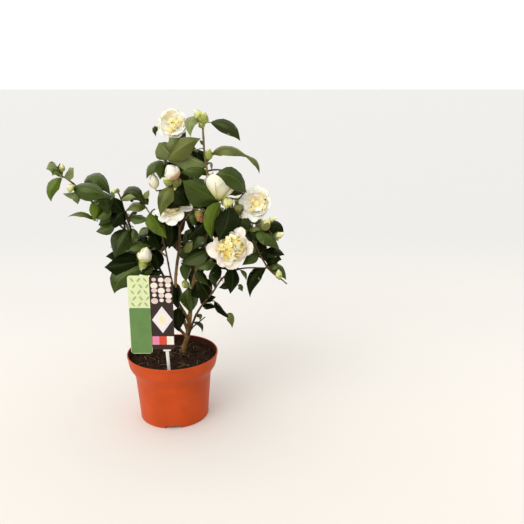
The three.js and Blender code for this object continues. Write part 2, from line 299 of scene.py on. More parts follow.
# Each tint is a leaf colour matched to how dark or light the leaves look. The black tint is the dark green of
# old leaves and also painted shade. The fresh tint is young yellow-green and also a painted glow of light
# through the blade. The sheen tint's pale base colour is a painted sheen on top of its real gloss.
leafTints = {  # upper sides from the oldest and most shaded leaves to the newest and most lit, and how glossy each is
    "black": ((0.004, 0.0075, 0.0007), 0.10),
    "deep": ((0.012, 0.021, 0.0012), 0.32),
    "mid": ((0.028, 0.048, 0.0045), 0.42),
    "olive": ((0.076, 0.086, 0.016), 0.45),
    "fresh": ((0.072, 0.112, 0.006), 0.42),
    "sheen": ((0.140, 0.168, 0.056), 0.62),
}
leafNames = list(leafTints)
leafFinishes = []
for name, (tint, gloss) in leafTints.items():
    upperSide = finish("leaf_" + name, tint, 0.72, 1.28, 35, (0.22, 0.38), 0.12, 500,
                       Specular_IOR_Level=gloss, Specular_Tint=(0.88, 1.0, 0.5, 1))
    paler = [channel * 1.8 + extra for channel, extra in zip(tint, (0.012, 0.016, 0.004))]
    leafFinishes.append(addVeins(upperSide, paler))
underside = len(leafFinishes)
underTint = finish("leaf_under", (0.095, 0.115, 0.032), 0.85, 1.15, 50, (0.5, 0.65), 0.2,
                   Specular_IOR_Level=0.2)
leafFinishes.append(addVeins(underTint, (0.16, 0.19, 0.07), True))
print("finishes for", len(leafNames), "leaf tints")

# Wood

woodFinishes = [
    finish("bark_old", (0.33, 0.178, 0.064), 0.55, 1.35, 90, (0.6, 0.8), 0.7, 260, 0.0012, (1, 1, 0.3),
           Specular_IOR_Level=0.2),
    finish("bark_young", (0.088, 0.052, 0.021), 0.6, 1.5, 120, (0.4, 0.6), 0.4, 500, 0.0006, (1, 1, 0.5),
           Specular_IOR_Level=0.2),
    finish("stalk_green", (0.21, 0.22, 0.055), 0.7, 1.2, 150, (0.4, 0.55), 0.2),
    finish("cut_wood", (0.62, 0.47, 0.28), 0.8, 1.1, 200, (0.6, 0.75), 0.3),
    finish("bark_olive", (0.25, 0.19, 0.088), 0.6, 1.4, 120, (0.5, 0.7), 0.4, 500, 0.0006, (1, 1, 0.5),
           Specular_IOR_Level=0.2),
]
barkOld, barkYoung, stalkGreen, cutWood, barkOlive = range(5)


# A smooth line through a few points: a centripetal Catmull-Rom curve, sampled all along
def smoothLine(route, count):
    p = np.array(route, float)
    p = np.concatenate([[2 * p[0] - p[1]], p, [2 * p[-1] - p[-2]]])
    knot = np.concatenate([[0], np.cumsum(np.linalg.norm(np.diff(p, axis=0), axis=1) ** 0.5)])
    at = np.linspace(knot[1], knot[-2], count)
    k = np.clip(np.searchsorted(knot, at, side="right") - 1, 1, len(p) - 3)

    # Goes from one row of points to another as the place goes from one knot to another
    def between(low, high, a, b):
        share = ((at - knot[low]) / (knot[high] - knot[low]))[:, None]
        return a * (1 - share) + b * share

    a1, a2, a3 = (between(k + n, k + n + 1, p[k + n], p[k + n + 1]) for n in (-1, 0, 1))
    return between(k, k + 1, between(k - 1, k + 1, a1, a2), between(k, k + 2, a2, a3))


# A ring carried along a line: its radius is a taper times lengthwise ribs, knots and a slow swell
def woodTube(line, radii, sides, finishRows, ribs=0.0, knots=(), seed=0, endFinish=None):
    rng = np.random.default_rng(seed)
    along = np.concatenate([[0], np.cumsum(np.linalg.norm(np.diff(line, axis=0), axis=1))])
    heading = unit(np.gradient(line, axis=0))
    side, other = square(heading, np.eye(3)[np.abs(heading).max(0).argmin()] + 0.01)
    around = np.linspace(0, 2 * math.pi, sides, endpoint=False)
    radius = np.broadcast_to(radii[:, None], (len(line), sides)).copy()
    for turns in (2, 3, 5, 7):
        phase = rng.uniform(0, roundTurn) + np.sin(along / rng.uniform(14, 40)) * 1.4
        radius *= 1 + ribs / math.sqrt(turns) * np.sin(turns * around[None, :] + phase[:, None])
    for at in knots:
        bulge = np.exp(-((along - at) / 2.6) ** 2) * rng.uniform(0.12, 0.3)
        radius *= 1 + bulge[:, None] * (1 + 0.6 * np.cos(around - rng.uniform(0, roundTurn)))[None, :]
    ring = np.cos(around)[None, :, None] * side[:, None] + np.sin(around)[None, :, None] * other[:, None]
    return capped(line[:, None] + ring * radius[:, :, None], finishRows, endFinish)


limbs = {  # route from root to tip, and the diameters at both
    "trunk": ([(16, 22, 105), (20, 22, 128), (27, 22, 151), (31, 20, 178), (39, 16, 243), (49, 12, 287),
               (66, 6, 342), (76, 2, 389), (73, -2, 466), (69, -2, 504), (67, 0, 550)], (10, 3.4)),
    "stem_middle": ([(28, 21, 160), (11, 14, 216), (9.5, 6, 260), (14, 0, 296), (20, -4, 330),
                     (23.5, -10, 372)], (7.2, 4.6)),
    "stem_left": ([(11, 14, 216), (2, 2, 273), (-3, -12, 324), (-8, -20, 362)], (3.8, 2.9)),
    "bough_left": ([(25, 22, 146), (-15, 22, 198), (-39, 16, 250), (-50, 8, 296), (-61, -2, 348),
                    (-75, -12, 405)], (5.4, 3.2)),
    "bough_far_left": ([(-61, -2, 346), (-89, -20, 383), (-121, -30, 415), (-150, -38, 450)], (3.8, 2.8)),
    "bough_right": ([(28, 20, 150), (45, 5, 196), (61, -10, 225), (79, -22, 250), (101, -30, 283),
                     (130, -38, 300), (179, -45, 304)], (4.6, 2.5)),
    "bough_right_upper": ([(179, -45, 304), (167, -46, 326), (155, -44, 354), (152, -38, 380)], (3.2, 2.8)),
    "bough_front": ([(56, 9, 310), (80, -20, 322), (103, -48, 336)], (4.6, 3.4)),
    "bough_shoulder": ([(76, 2, 395), (88, -12, 412), (100, -22, 428)], (4, 3)),
    "bough_back_left": ([(31, 20, 178), (-2, 48, 226), (-34, 74, 276), (-46, 84, 300)], (6.4, 4)),
    "bough_back_right": ([(43, 14, 262), (78, 44, 300), (108, 66, 340)], (5.4, 3.6)),
    "bough_back_middle": ([(34, 18, 215), (42, 60, 262), (48, 88, 300)], (5.4, 3.6)),
    "bough_back_centre": ([(16, -4, 326), (11, 30, 350), (14, 62, 378)], (4.2, 3)),
    "bough_back_top": ([(76, 2, 400), (58, 34, 432), (40, 54, 460)], (4.4, 3)),
}
bark = {"step": 2.2, "sides": 16, "ribs": 0.07, "flare": 0.1, "flareFrom": 116, "flareReach": 9,
        "collar": 0.3, "collarReach": 6, "knotStep": 34, "youngFrom": 300, "slim": 2.7, "oliveFrom": 425,
        "growFrom": 150}

wood = {"points": np.zeros((0, 3)), "radii": np.zeros(0), "headings": np.zeros((0, 3))}
shown = []  # points of all that the picture shows


# Keeps a line's points as places that a later shoot may grow from
def keepWood(line, radii):
    wood["points"] = np.concatenate([wood["points"], line])
    wood["radii"] = np.concatenate([wood["radii"], radii])
    wood["headings"] = np.concatenate([wood["headings"], unit(np.gradient(line, axis=0))])


for number, (name, (route, thick)) in enumerate(limbs.items()):
    length = np.linalg.norm(np.diff(np.array(route, float), axis=0), axis=1).sum()
    line = smoothLine(route, int(length / bark["step"]) + 2)
    share = np.linspace(0, 1, len(line))
    radii = (thick[0] + (thick[1] - thick[0]) * share ** 0.8) / 2
    run = share * length
    if name == "trunk":  # the root flare starts where the compost ends
        above = np.maximum(line[:, 2] - bark["flareFrom"], 0)
        radii = radii * (1 + bark["flare"] * np.exp(-above / bark["flareReach"]))
    else:
        radii = radii * (1 + bark["collar"] * np.exp(-run / bark["collarReach"]))
    knots = np.arange(bark["knotStep"] * 0.6, length, bark["knotStep"])
    rowFinish = np.where((line[1:, 2] > bark["youngFrom"]) | (radii[1:] < bark["slim"]), barkYoung, barkOld)
    rowFinish = np.where(line[1:, 2] > bark["oliveFrom"], barkOlive, rowFinish)
    tube = woodTube(line, radii, bark["sides"], rowFinish, bark["ribs"], knots, number)
    makePiece(name + "_bark", [tube], woodFinishes, [name])
    shown.append(tube["points"])
    usable = line[:, 2] > bark["growFrom"]
    keepWood(line[usable], radii[usable])
print("limbs:", len(limbs))

# Shoots that show, each a line through sighted pixels (across, down) with a depth
shoots = {
    "farLeftEnd": [(73, 184, -38), (67, 179, -40), (62, 176, -41)],
    "leftLeader": [(122, 204, -12), (121, 199, -13), (119, 194, -14), (117.5, 190.5, -14)],
    "leftPerch": [(121, 200, -13), (123, 196, -14), (126, 193, -16)],
    "leftInner": [(126, 229, -4), (122.5, 221, -8), (118, 215, -16)],
    "leftOuter": [(131, 231, -5), (128.5, 221, -8), (126, 213, -14), (123, 209, -20)],
    "leftFork": [(128.5, 221, -8), (130.5, 215, -12), (133, 212, -16)],
    "stemLeftSide": [(166, 257, -8), (161, 252, -8), (156, 247, -10), (150, 244, -14)],
    "stemLeftEnd": [(162, 236, -20), (158, 232, -20), (152, 222, -20), (150, 214, -20), (146, 208, -18)],
    "stemLeftFork": [(150, 214.5, -20), (152, 211, -18), (155, 209, -14)],
    "upperStalk": [(179.5, 228, -10), (177, 221, -6), (176, 210, 2), (176, 198, 2), (175, 188, -4),
                   (174, 182, -18)],
    "blossomStalk": [(176, 192, 0), (170, 176, -6), (165, 163, -10), (170, 150, -4), (176, 140, 2)],
    "paleStalk": [(174, 185, -4), (166, 189, -6), (156.5, 191, -12)],
    "rightStalk": [(180, 228, -10), (182, 223, -16), (184, 220, -22), (188, 215.5, -28), (193, 210, -26),
                   (197, 206, -18)],
    "topSpur": [(206, 165, -1), (209, 163, -3), (212, 164, -5), (211.5, 169, -6)],
    "longShoot": [(206, 162, -1), (216, 152.5, 0), (232, 150.5, -9), (249, 156.5, -14)],
    "shoulderSpur": [(207, 171.5, -1), (212, 170, -8), (219, 169.8, -22), (226, 171.5, -38), (231, 175, -50)],
    "capeTwig": [(222, 203, -22), (229, 198, -24), (238, 199, -26), (243, 194, -26), (246, 191, -26)],
    "backBlossom": [(252, 232, -38), (256, 226, -30), (260, 221, -16), (261, 214, -6)],
    "rightBudTwig": [(252, 236, -39), (260, 231, -38), (264, 226, -38)],
    "rightEnd": [(268, 269, -45), (274, 274, -46), (281, 279, -47), (287, 284, -48)],
    "bareTwig": [(190, 331, 18), (193, 327, 16), (199, 322, 12), (205, 317, 8)],
    "facingTwig": [(190, 318, 20), (191.5, 303, 14), (189, 287, 4)],
    "lowTwig": [(203, 303, -4), (209, 301, -10), (214, 301, -16)],
    "labelTwig": [(186, 318, 18), (182, 309, 12), (178, 300, 8), (176, 284, 6)],
    "underTwig": [(240, 269, -37), (233, 267, -42), (228, 272, -42)],
}
shootForm = {"step": 3.0, "sides": 8, "foot": 1.7, "tip": 1.05, "ribs": 0.05}
twigShapes = []


# A thin tapering shoot along a line, young bark turning to a green stalk over its last stretch
def addShoot(route, foot, tip, greenFrom=1.0, seed=0):
    length = np.linalg.norm(np.diff(np.array(route, float), axis=0), axis=1).sum()
    line = smoothLine(route, max(int(length / shootForm["step"]), 4) + 1)
    share = np.linspace(0, 1, len(line))
    radii = foot + (tip - foot) * share
    rowFinish = np.where(share[1:] > greenFrom, stalkGreen, barkYoung)
    twigShapes.append(woodTube(line, radii, shootForm["sides"], rowFinish, shootForm["ribs"], (), seed))
    return line, radii, share


for number, (name, places) in enumerate(shoots.items()):
    route = [seen(*place) for place in places]
    nearest = np.linalg.norm(wood["points"] - route[0], axis=1).argmin()
    route[0] = wood["points"][nearest]
    line, radii, share = addShoot(route, shootForm["foot"], shootForm["tip"], 1, 100 + number)
    keepWood(line, radii)
    shown.append(twigShapes[-1]["points"])
print("shoots:", len(shoots))

# Leaves that show: foot, middle and tip as pixels, their three depths, the real width, how far the blade is
# turned from the viewer towards the light, and the tint. The tint follows how dark or light the leaf looks,
# so the black tint also paints shade, the fresh tint a glow of light through the blade and the sheen tint a
# sheen.
leaves = {
    # the leader and the top of the crown
    "topTip": ((202, 119.5), (190.5, 120.5), (190.5, 137.5), (-2, -16, -22), 25, 38, "sheen"),
    "topRight": ((210.5, 122.5), (228, 126.3), (240.5, 141), (0, -8, -12), 26, 20, "deep"),
    "longRight": ((211.5, 154), (227, 147), (252, 158.5), (-2, -14, -18), 29, 50, "olive"),
    "longRightEnd": ((246, 156.5), (256.5, 162.5), (259.5, 174), (-17, -18, -20), 12, 40, "olive"),
    "longTop": ((168, 161), (180, 147.5), (201, 138), (-18, -26, -22), 38, 22, "olive"),
    "greyLobe": ((173, 158), (165, 149.5), (159.5, 142.5), (-12, -18, -22), 36, 20, "sheen"),
    "flatTop": ((174, 153), (174, 144.5), (169, 137), (-9, -15, -17), 26, 20, "sheen"),
    "brownUnder": ((206, 166), (189, 158.5), (168, 161), (-4, -12, -16), 40, 30, "sheen"),
    "darkShoulder": ((206, 168), (200.5, 158), (192, 150.5), (2, -2, -4), 32, 20, "black"),
    "upperFill": ((192, 168), (180, 165.5), (165, 161.5), (0, -6, -10), 24, 25, "black"),
    "upperFillLow": ((190, 184), (184.5, 174.5), (178, 165.5), (0, -6, -10), 26, 22, "deep"),
    "behindOpening": ((187, 195), (184, 186), (181, 176), (2, -4, -6), 26, 20, "deep"),
    "backGreen": ((206, 171), (194, 168), (180, 173), (-6, -14, -18), 38, 32, "mid"),
    "leaderSliver": ((199, 149), (194, 150.5), (189.5, 152.5), (2, 0, 0), 11, 40, "sheen"),
    "foldedLeft": ((164, 162), (151, 166.5), (146, 179), (-18, -24, -28), 24, 42, "mid"),
    "narrowEdge": ((163.5, 163), (162.5, 171), (160.5, 180), (-22, -26, -30), 22, 42, "mid"),
    "leaderBract": ((203.5, 145), (202, 142.5), (199.5, 140), (0, -1, -2), 6, 20, "olive"),
    "cornerSliver": ((159, 130), (154, 129), (156, 137), (8, 4, 4), 13, 40, "deep"),
    # the middle of the crown, round the half-open blooms
    "sheenLeaf": ((173.5, 187), (163.5, 197), (160, 216.5), (-28, -38, -42), 32, 30, "olive"),
    "innerDarkLeft": ((177, 188), (174, 199), (166, 208.5), (-26, -34, -36), 32, 30, "black"),
    "innerDarkRight": ((179, 187), (182.5, 197), (191, 205.5), (-24, -32, -34), 34, 25, "black"),
    "bigSheenRight": ((218, 201), (201, 191.5), (183, 180), (-24, -41, -49), 50, 12, "mid"),
    "capeLeaf": ((246, 192), (233, 176.5), (215, 174.5), (-34, -54, -58), 37, 26, "mid"),
    "hangBright": ((221, 203), (212.5, 219), (213, 241), (-34, -52, -58), 30, 28, "fresh"),
    "hangDark": ((229, 207), (227, 222), (218, 240.5), (-40, -66, -90), 46, 10, "black"),
    "hangShoulder": ((241, 213), (234, 211), (225, 209), (-34, -40, -44), 20, 45, "mid"),
    "capeSliver": ((243, 193.5), (234.5, 190.5), (226, 196), (-24, -26, -28), 20, 40, "deep"),
    "behindLobe": ((242, 219), (247, 224), (250.5, 232.5), (-38, -40, -42), 24, 35, "deep"),
    "orangeBack": ((205, 221), (200, 227), (192.5, 234), (-20, -24, -24), 26, 20, "black"),
    "orangeSide": ((197, 210), (194.5, 217), (193.5, 227), (-14, -30, -30), 16, 20, "mid"),
    "stemOliveUpper": ((183, 241), (187, 234), (190.5, 228.5), (-8, -12, -12), 20, 40, "deep"),
    "stemOliveLower": ((182, 250), (187, 246), (193.5, 240), (-8, -13, -14), 22, 40, "olive"),
    "gapDark": ((197, 229), (192, 234.5), (186, 241), (-16, -18, -18), 22, 20, "black"),
    "trunkSide": ((206, 232), (210, 240), (213, 249), (16, 20, 20), 18, 20, "black"),
    "forkSliver": ((192, 213), (188, 212.5), (183.5, 211), (-12, -13, -14), 9, 20, "olive"),
    # left of the middle
    "perch": ((122, 200), (132, 191), (145, 204), (-14, -20, -22), 34, 28, "deep"),
    "perchNear": ((121, 200.5), (128, 197), (136, 197.5), (-16, -26, -28), 12, 20, "sheen"),
    "greyFold": ((146.5, 207.5), (136, 204.5), (124.5, 211), (-16, -24, -28), 28, 48, "olive"),
    "lowFold": ((131, 214), (139, 217), (149, 218.5), (-16, -24, -26), 26, 45, "mid"),
    "smallUp": ((143, 197.5), (146, 195), (149, 189.5), (-12, -12, -12), 11, 20, "sheen"),
    "smallDown": ((143, 196), (145.5, 200), (148.5, 205), (-10, -10, -10), 18, 20, "mid"),
    "oliveLeaf": ((150, 213), (157, 223), (167.5, 238.5), (-22, -30, -36), 34, 38, "fresh"),
    "darkTriangle": ((170, 221), (172, 235), (169, 249.5), (-14, -18, -18), 34, 20, "black"),
    "darkUpright": ((161, 250), (155.5, 239), (149, 226), (-12, -18, -18), 30, 30, "black"),
    "greyStrip": ((149, 229), (142.5, 230), (138.5, 237), (-16, -18, -18), 9, 20, "sheen"),
    "blackLobe": ((151, 244), (144, 238.5), (138, 241), (-12, -14, -14), 18, 30, "black"),
    "darkBand": ((149, 246), (137, 245), (125, 249.5), (-16, -22, -26), 24, 35, "mid"),
    "darkDiamond": ((149, 251), (157, 260), (155.5, 272), (-8, -12, -14), 36, 20, "black"),
    "labelTopDark": ((148, 271), (155, 272.5), (162.5, 271), (-6, -8, -8), 18, 30, "black"),
    "budBack": ((152, 266), (146, 270), (139, 274), (-8, -14, -16), 20, 30, "mid"),
    "broadLeft": ((129, 230), (120, 242), (114, 258), (-20, -32, -38), 46, 15, "deep"),
    "broadRight": ((133, 228.5), (130.5, 237), (124.5, 247), (-14, -20, -22), 26, 25, "mid"),
    "darkLeftUpper": ((138, 257), (121, 254.5), (105.5, 256), (-14, -20, -26), 32, 25, "black"),
    "darkLeftLower": ((138, 261.5), (120.5, 265), (104, 267), (-20, -30, -34), 40, 20, "black"),
    "greenTip": ((142, 268.5), (122, 276.5), (114, 294), (-26, -36, -42), 48, 15, "mid"),
    # the long bough on the left
    "farTop": ((60, 172), (54, 167.5), (46, 169.5), (-40, -56, -62), 25, 20, "sheen"),
    "farTopLow": ((62, 176.5), (57, 171.5), (51, 175), (-42, -58, -62), 17, 60, "fresh"),
    "farUpright": ((61, 176.5), (60.5, 170), (60.5, 163), (-40, -42, -44), 12, 30, "fresh"),
    "farHang": ((62, 178), (51, 187), (51, 202), (-42, -50, -54), 23, 30, "fresh"),
    "farGrey": ((64, 177.5), (68.5, 173), (73, 167.5), (-42, -52, -58), 20, 40, "sheen"),
    "farLowThin": ((81, 194), (72, 195), (63, 193), (-36, -46, -52), 16, 45, "sheen"),
    "farLowCorner": ((76, 191), (77.5, 197), (78.5, 204.5), (-38, -48, -52), 19, 35, "sheen"),
    "bigSheenLeft": ((72, 187.5), (89, 189), (109, 198), (-40, -50, -48), 36, 22, "mid"),
    "bigTopLeft": ((84, 184), (97, 178), (111, 195), (-22, -24, -26), 38, 35, "mid"),
    "bigDarkLeft": ((97, 191), (105, 200), (109, 214), (-38, -46, -46), 34, 25, "deep"),
    "midHang": ((98, 199), (97, 210), (94.5, 222), (-38, -44, -46), 24, 25, "fresh"),
    "freshCorner": ((108, 206), (103, 213), (94, 218), (-32, -40, -42), 24, 30, "mid"),
    "darkUp": ((124, 213), (116, 204), (109, 199), (-24, -28, -30), 28, 25, "black"),
    "darkLow": ((126, 212), (117.5, 216), (112, 228.5), (-22, -32, -34), 44, 22, "black"),
    "bridgeLeft": ((112, 213.5), (105, 219), (98, 225.5), (-20, -24, -26), 22, 20, "mid"),
    "greyUnder": ((114, 222), (105, 227.5), (95.5, 231), (-26, -34, -38), 26, 38, "mid"),
    "narrowCurl": ((95, 220), (83, 212), (67, 216.5), (-34, -44, -48), 18, 62, "olive"),
    # the middle, low
    "sideSheen": ((202.5, 232), (197, 239.5), (192.5, 250), (-14, -20, -22), 28, 30, "deep"),
    "striped": ((209, 249), (195, 255), (179.5, 263.5), (-16, -24, -26), 40, 42, "deep"),
    "stripedBack": ((182, 247), (187, 253), (196, 259), (-8, -12, -12), 24, 30, "deep"),
    "blueHang": ((189, 262.5), (187.5, 271), (187, 282.5), (-18, -26, -28), 26, 38, "mid"),
    "lowBand": ((216.5, 263.5), (206, 262.5), (194.5, 269), (-30, -38, -40), 26, 48, "mid"),
    "darkElbow": ((211, 264), (218, 271.5), (217, 283), (-28, -34, -34), 19, 25, "black"),
    "darkBelow": ((197, 280), (204, 288.5), (210.5, 299.5), (-14, -20, -22), 47, 15, "black"),
    "darkBelowLow": ((206, 286), (202.5, 294), (200, 304.5), (-10, -14, -14), 30, 25, "black"),
    "boughSliver": ((205, 302), (210, 298.5), (216, 297), (-8, -12, -14), 13, 30, "black"),
    "oliveElbow": ((211, 270), (214.5, 278), (215, 289), (-20, -24, -24), 18, 20, "deep"),
    "darkMiddle": ((197, 270), (202, 277), (209, 286), (-16, -20, -22), 20, 20, "deep"),
    "trunkLeft": ((196, 258), (192.5, 270), (191.5, 286), (20, 22, 22), 24, 20, "deep"),
    "facing": ((189, 287.5), (191, 300), (190.5, 314.5), (0, -10, -12), 37, 16, "mid"),
    "labelSideUpper": ((176, 283), (178.5, 296), (179, 310), (8, 2, 0), 32, 40, "black"),
    "labelSideLower": ((179, 308), (178.5, 320), (179, 332), (8, 2, 0), 33, 20, "black"),
    "lowSliver": ((203, 303.5), (209, 304), (217.5, 307), (-2, -8, -12), 22, 54, "black"),
    "longNarrow": ((214.5, 301), (223, 309.5), (232, 319), (-16, -24, -28), 20, 60, "black"),
    "longNarrowTip": ((227, 314), (232, 318), (232.5, 328.5), (-26, -29, -30), 18, 30, "olive"),
    "curlUpper": ((195, 316), (200, 315.5), (199.5, 321), (10, 6, 4), 10, 20, "olive"),
    "curlLower": ((192.5, 322.5), (201, 324.5), (202, 333), (10, 4, 2), 9, 20, "deep"),
    # the low bough on the right
    "underBloom": ((232, 267), (233, 280), (230.5, 294.5), (-42, -54, -56), 30, 25, "black"),
    "underBloomLeft": ((231, 281), (225, 283.5), (218, 287.5), (-40, -46, -46), 22, 45, "black"),
    "underSliver": ((238, 285), (241, 287), (242.5, 292), (-46, -48, -50), 11, 20, "mid"),
    "underArc": ((240, 270), (245, 273.5), (246.5, 281), (-40, -46, -46), 9, 30, "olive"),
    "hangRight": ((266, 268.5), (251.5, 277.5), (249.5, 298), (-46, -56, -60), 28, 32, "black"),
    "freshSmall": ((258, 252.5), (250.5, 257.5), (241.5, 265), (-42, -54, -58), 22, 30, "mid"),
    "midCurve": ((256, 229.5), (268, 236), (280.5, 250), (-40, -52, -54), 32, 40, "mid"),
    "midCurveBack": ((247, 231), (257, 235.5), (268, 246.5), (-40, -50, -52), 16, 30, "black"),
    "midStub": ((247, 232), (253, 228.5), (261, 230), (-38, -44, -48), 12, 40, "olive"),
    "nearBlack": ((262, 229), (275, 226), (284, 233), (-34, -36, -36), 28, 25, "black"),
    "clusterInner": ((257, 243), (263, 250), (268, 263), (-36, -40, -42), 28, 25, "black"),
    "clusterTip": ((264, 252), (274, 251), (285, 254.5), (-38, -42, -46), 26, 40, "black"),
    "clusterLow": ((267, 266), (273, 259), (282, 260), (-40, -46, -46), 30, 25, "black"),
    "clusterPale": ((268, 268), (275, 264.5), (283.5, 269), (-44, -52, -54), 17, 45, "mid"),
    "clusterEnd": ((270, 269), (279, 269.5), (286.5, 280), (-44, -48, -50), 24, 35, "mid"),
    "stemSmall": ((257, 254), (254.5, 248), (251, 241), (-40, -42, -42), 13, 20, "olive"),
    "petalSliver": ((252, 240), (249, 236), (246, 232.5), (-40, -42, -44), 11, 20, "deep"),
}
leafForm = {"rows": np.array([0.04, 0.14, 0.28, 0.43, 0.58, 0.72, 0.84, 0.93]), "columns": 5, "thick": 0.45,
            "fold": -0.24, "foldRange": (0.4, 1.5), "curl": 0.24, "curlRange": (0.5, 1.8), "wave": 0.08,
            "waves": 2.1, "recurve": 0.07, "twist": 0.35}


# Half the width of a leaf is a sine of a power of the length, drawn in over the last third to the point
def leafHalf(t, wide):
    point = np.clip((t - 0.66) / 0.34, 0, 1)
    return wide / 2 * np.sin(math.pi * t ** 0.82) ** 0.85 * (1 - 0.5 * point ** 2)


# The parabola through three points, and the way that it runs at each place
def arch(foot, mid, tip, t):
    bend = 2 * mid - 0.5 * (foot + tip)
    t = np.asarray(t, float)[..., None]
    curve = foot * (1 - t) ** 2 + 2 * bend * t * (1 - t) + tip * t ** 2
    return curve, unit((bend - foot) * (1 - t) + (tip - bend) * t)


# A leaf blade on its arch. The halves fall away from the midrib like a low roof, the rims roll down by the
# square of the distance across and wave by a sine, the blade twists, and the tip bends back.
def leafShape(leaf):
    rng = np.random.default_rng(leaf["seed"])
    foot, mid, tip = leaf["foot"], leaf["mid"], leaf["tip"]
    t = leafForm["rows"]
    centre, ahead = arch(foot, mid, tip, t)
    turn = rng.uniform(-1, 1) * leafForm["twist"] * (t[:, None] - 0.4)
    up = unit(leaf["face"] - (ahead @ leaf["face"])[:, None] * ahead)
    side = np.cross(ahead, up)
    up, side = up * np.cos(turn) + side * np.sin(turn), side * np.cos(turn) - up * np.sin(turn)
    half = leafHalf(t, leaf["wide"])[:, None]
    across = np.linspace(-1, 1, leafForm["columns"])[None, :]
    fold = leafForm["fold"] * rng.uniform(*leafForm["foldRange"])
    curl = leafForm["curl"] * rng.uniform(*leafForm["curlRange"])
    ripple = 2 * math.pi * (leafForm["waves"] * t[:, None] + 0.23 * np.sign(across))
    ripple = np.sin(ripple + rng.uniform(0, roundTurn))
    height = (fold * np.abs(across) + (leafForm["wave"] * ripple - curl) * across ** 2) * half
    height = height - leafForm["recurve"] * leaf["wide"] * t[:, None] ** 4
    upper = centre[:, None] + side[:, None] * (across * half)[..., None] + up[:, None] * height[..., None]
    rib = centre + up * (height[:, 2:3] - leafForm["thick"] - 0.03 * half)
    under = np.stack([upper[:, 0], rib, upper[:, -1]], 1)
    last = tip - up[-1] * leafForm["recurve"] * leaf["wide"]
    chart = np.stack(np.broadcast_arrays(0.5 + 0.5 * across, t[:, None]), -1).reshape(-1, 2)
    chart = np.concatenate([chart, np.stack([np.full(len(t), 0.5), t], -1), [[0.5, 0], [0.5, 1]]])
    return blade(foot, upper, under, last, leafNames.index(leaf["tint"]), underside, chart)


# The way the upper side looks: at the viewer, then turned about the blade's own line towards the light
def facingTurn(foot, mid, tip, degrees):
    ahead = unit(tip - foot)
    toEye = unit(eye - mid)
    front = unit(toEye - (toEye @ ahead) * ahead)
    side = np.cross(ahead, front)
    if side @ np.array([0.25, 0, 1.0]) < 0:
        side = -side
    return front * math.cos(math.radians(degrees)) + side * math.sin(math.radians(degrees))


grown = []
for number, (name, (foot, mid, tip, depths, wide, turn, tint)) in enumerate(leaves.items()):
    foot, mid, tip = (seen(*place, depth) for place, depth in zip((foot, mid, tip), depths))
    grown.append({"foot": foot, "mid": mid, "tip": tip, "wide": wide, "tint": tint, "seed": number,
                  "face": facingTurn(foot, mid, tip, turn)})
print("leaves that show:", len(grown))

# Petals at even steps round a bloom, a little uneven in reach
def evenPetals(count, reach, wide, start=0):
    return [(start + 360 * k / count, reach * (0.95 + 0.08 * ((k * 3) % 4) / 3), wide) for k in range(count)]


# Each bloom has its middle (a pixel with a depth, or a place in the frame), where it looks, its guard petals
# (way round from the right in degrees, reach, width) and their tints, its inner rings (number of petals,
# reach, width, how far they rise) and their tints, its hearts (place across, up and forward, radius, number
# of petaloids), the side where these are yellower, and its browned spots (place across, up and forward).
blooms = {
    "bloom_front": dict(at=(230.5, 248.5, -74), looks=(-0.1, -1, 0.08), replaced=["bloom_front"],
                        hearts=[(2, 2, -6, 22, 74)], glow=(-0.7, 0.7), rings=[(8, 28, 22, 6)],
                        guards=["blush"], inner=["blush", "blush", "cream"],
                        petals=[(187, 42, 29), (239, 36.5, 22), (275, 37, 27), (325, 30, 24), (3, 39, 27),
                                (60, 41, 22), (83, 29, 25), (153, 32, 22), (212, 34, 26), (28, 33, 22)]),
    "bloom_right": dict(at=(256, 203, -24), looks=(0.1, -1, 0.3), glow=(0, -1), guards=["white"],
                        rings=[(8, 22, 22, 4), (6, 15, 17, 8)], inner=["white", "white", "cream"],
                        hearts=[(-6, 6, -2, 5.5, 10), (-8, -11, 2, 5.5, 14), (15, 3, -1, 4.5, 10),
                                (14, -8, -1, 4.5, 10), (2, 0, -8, 8, 10)], spots=[(16, 5, 4), (-9, -8, 7)],
                        petals=[(130, 29, 22), (90, 31, 24), (57, 30, 23), (27, 28, 22), (0, 27, 23),
                                (-42, 26, 22), (-80, 29, 21), (-102, 34, 20), (-139, 38, 19), (189, 24, 22),
                                (166, 30, 24)]),
    "bloom_top": dict(at=(172.5, 123.5, 6), looks=(0.15, -1, 0.3), glow=(0.5, -0.2),
                      rings=[(8, 22, 21, 6)],
                      hearts=[(-5, -12, -2, 5.5, 10), (2, -5, -1, 6.5, 12), (9, 0, -1, 6.5, 12),
                              (15, 5, -2, 5, 10), (0, 4, -6, 8, 12)], spots=[(-1, 0, 7)],
                      petals=evenPetals(9, 27, 22, 10), guards=["white"],
                      inner=["cream", "white", "white"]),
    "bloom_behind": dict(at=(172, 204, -18), looks=(-0.1, -1, 0.55), hearts=[(0, -5, -8, 12, 24)],
                         glow=(0.2, -0.8), rings=[(8, 22, 20, 4)], guards=["white"], inner=["cream", "cream"],
                         petals=[(160, 26, 24), (190, 26, 24), (214, 34, 20), (243, 37, 24), (272, 39, 26),
                                 (300, 34, 24), (350, 38, 18), (20, 32, 24), (65, 26, 26), (110, 26, 26)]),
    "bloom_back_left": dict(place=(16, 102, 406), looks=(-0.3, 1, 0.3), hearts=[(0, 0, -4, 19, 70)],
                            glow=(0.7, 0.7), rings=[(7, 26, 20, 11)], guards=["white", "blush"],
                            inner=["cream", "blush"], petals=evenPetals(9, 37, 26)),
    "bloom_back_right": dict(place=(78, 112, 358), looks=(0.35, 1, 0.35), hearts=[(0, 0, -4, 18, 66)],
                             glow=(-0.7, 0.5), rings=[(7, 25, 20, 11)], guards=["white", "blush"],
                             inner=["cream", "white"], petals=evenPetals(9, 35, 25, 15)),
}
petalSoft = {"Subsurface_Weight": 0.6, "Subsurface_Radius": (0.006, 0.005, 0.003), "Specular_IOR_Level": 0.25}
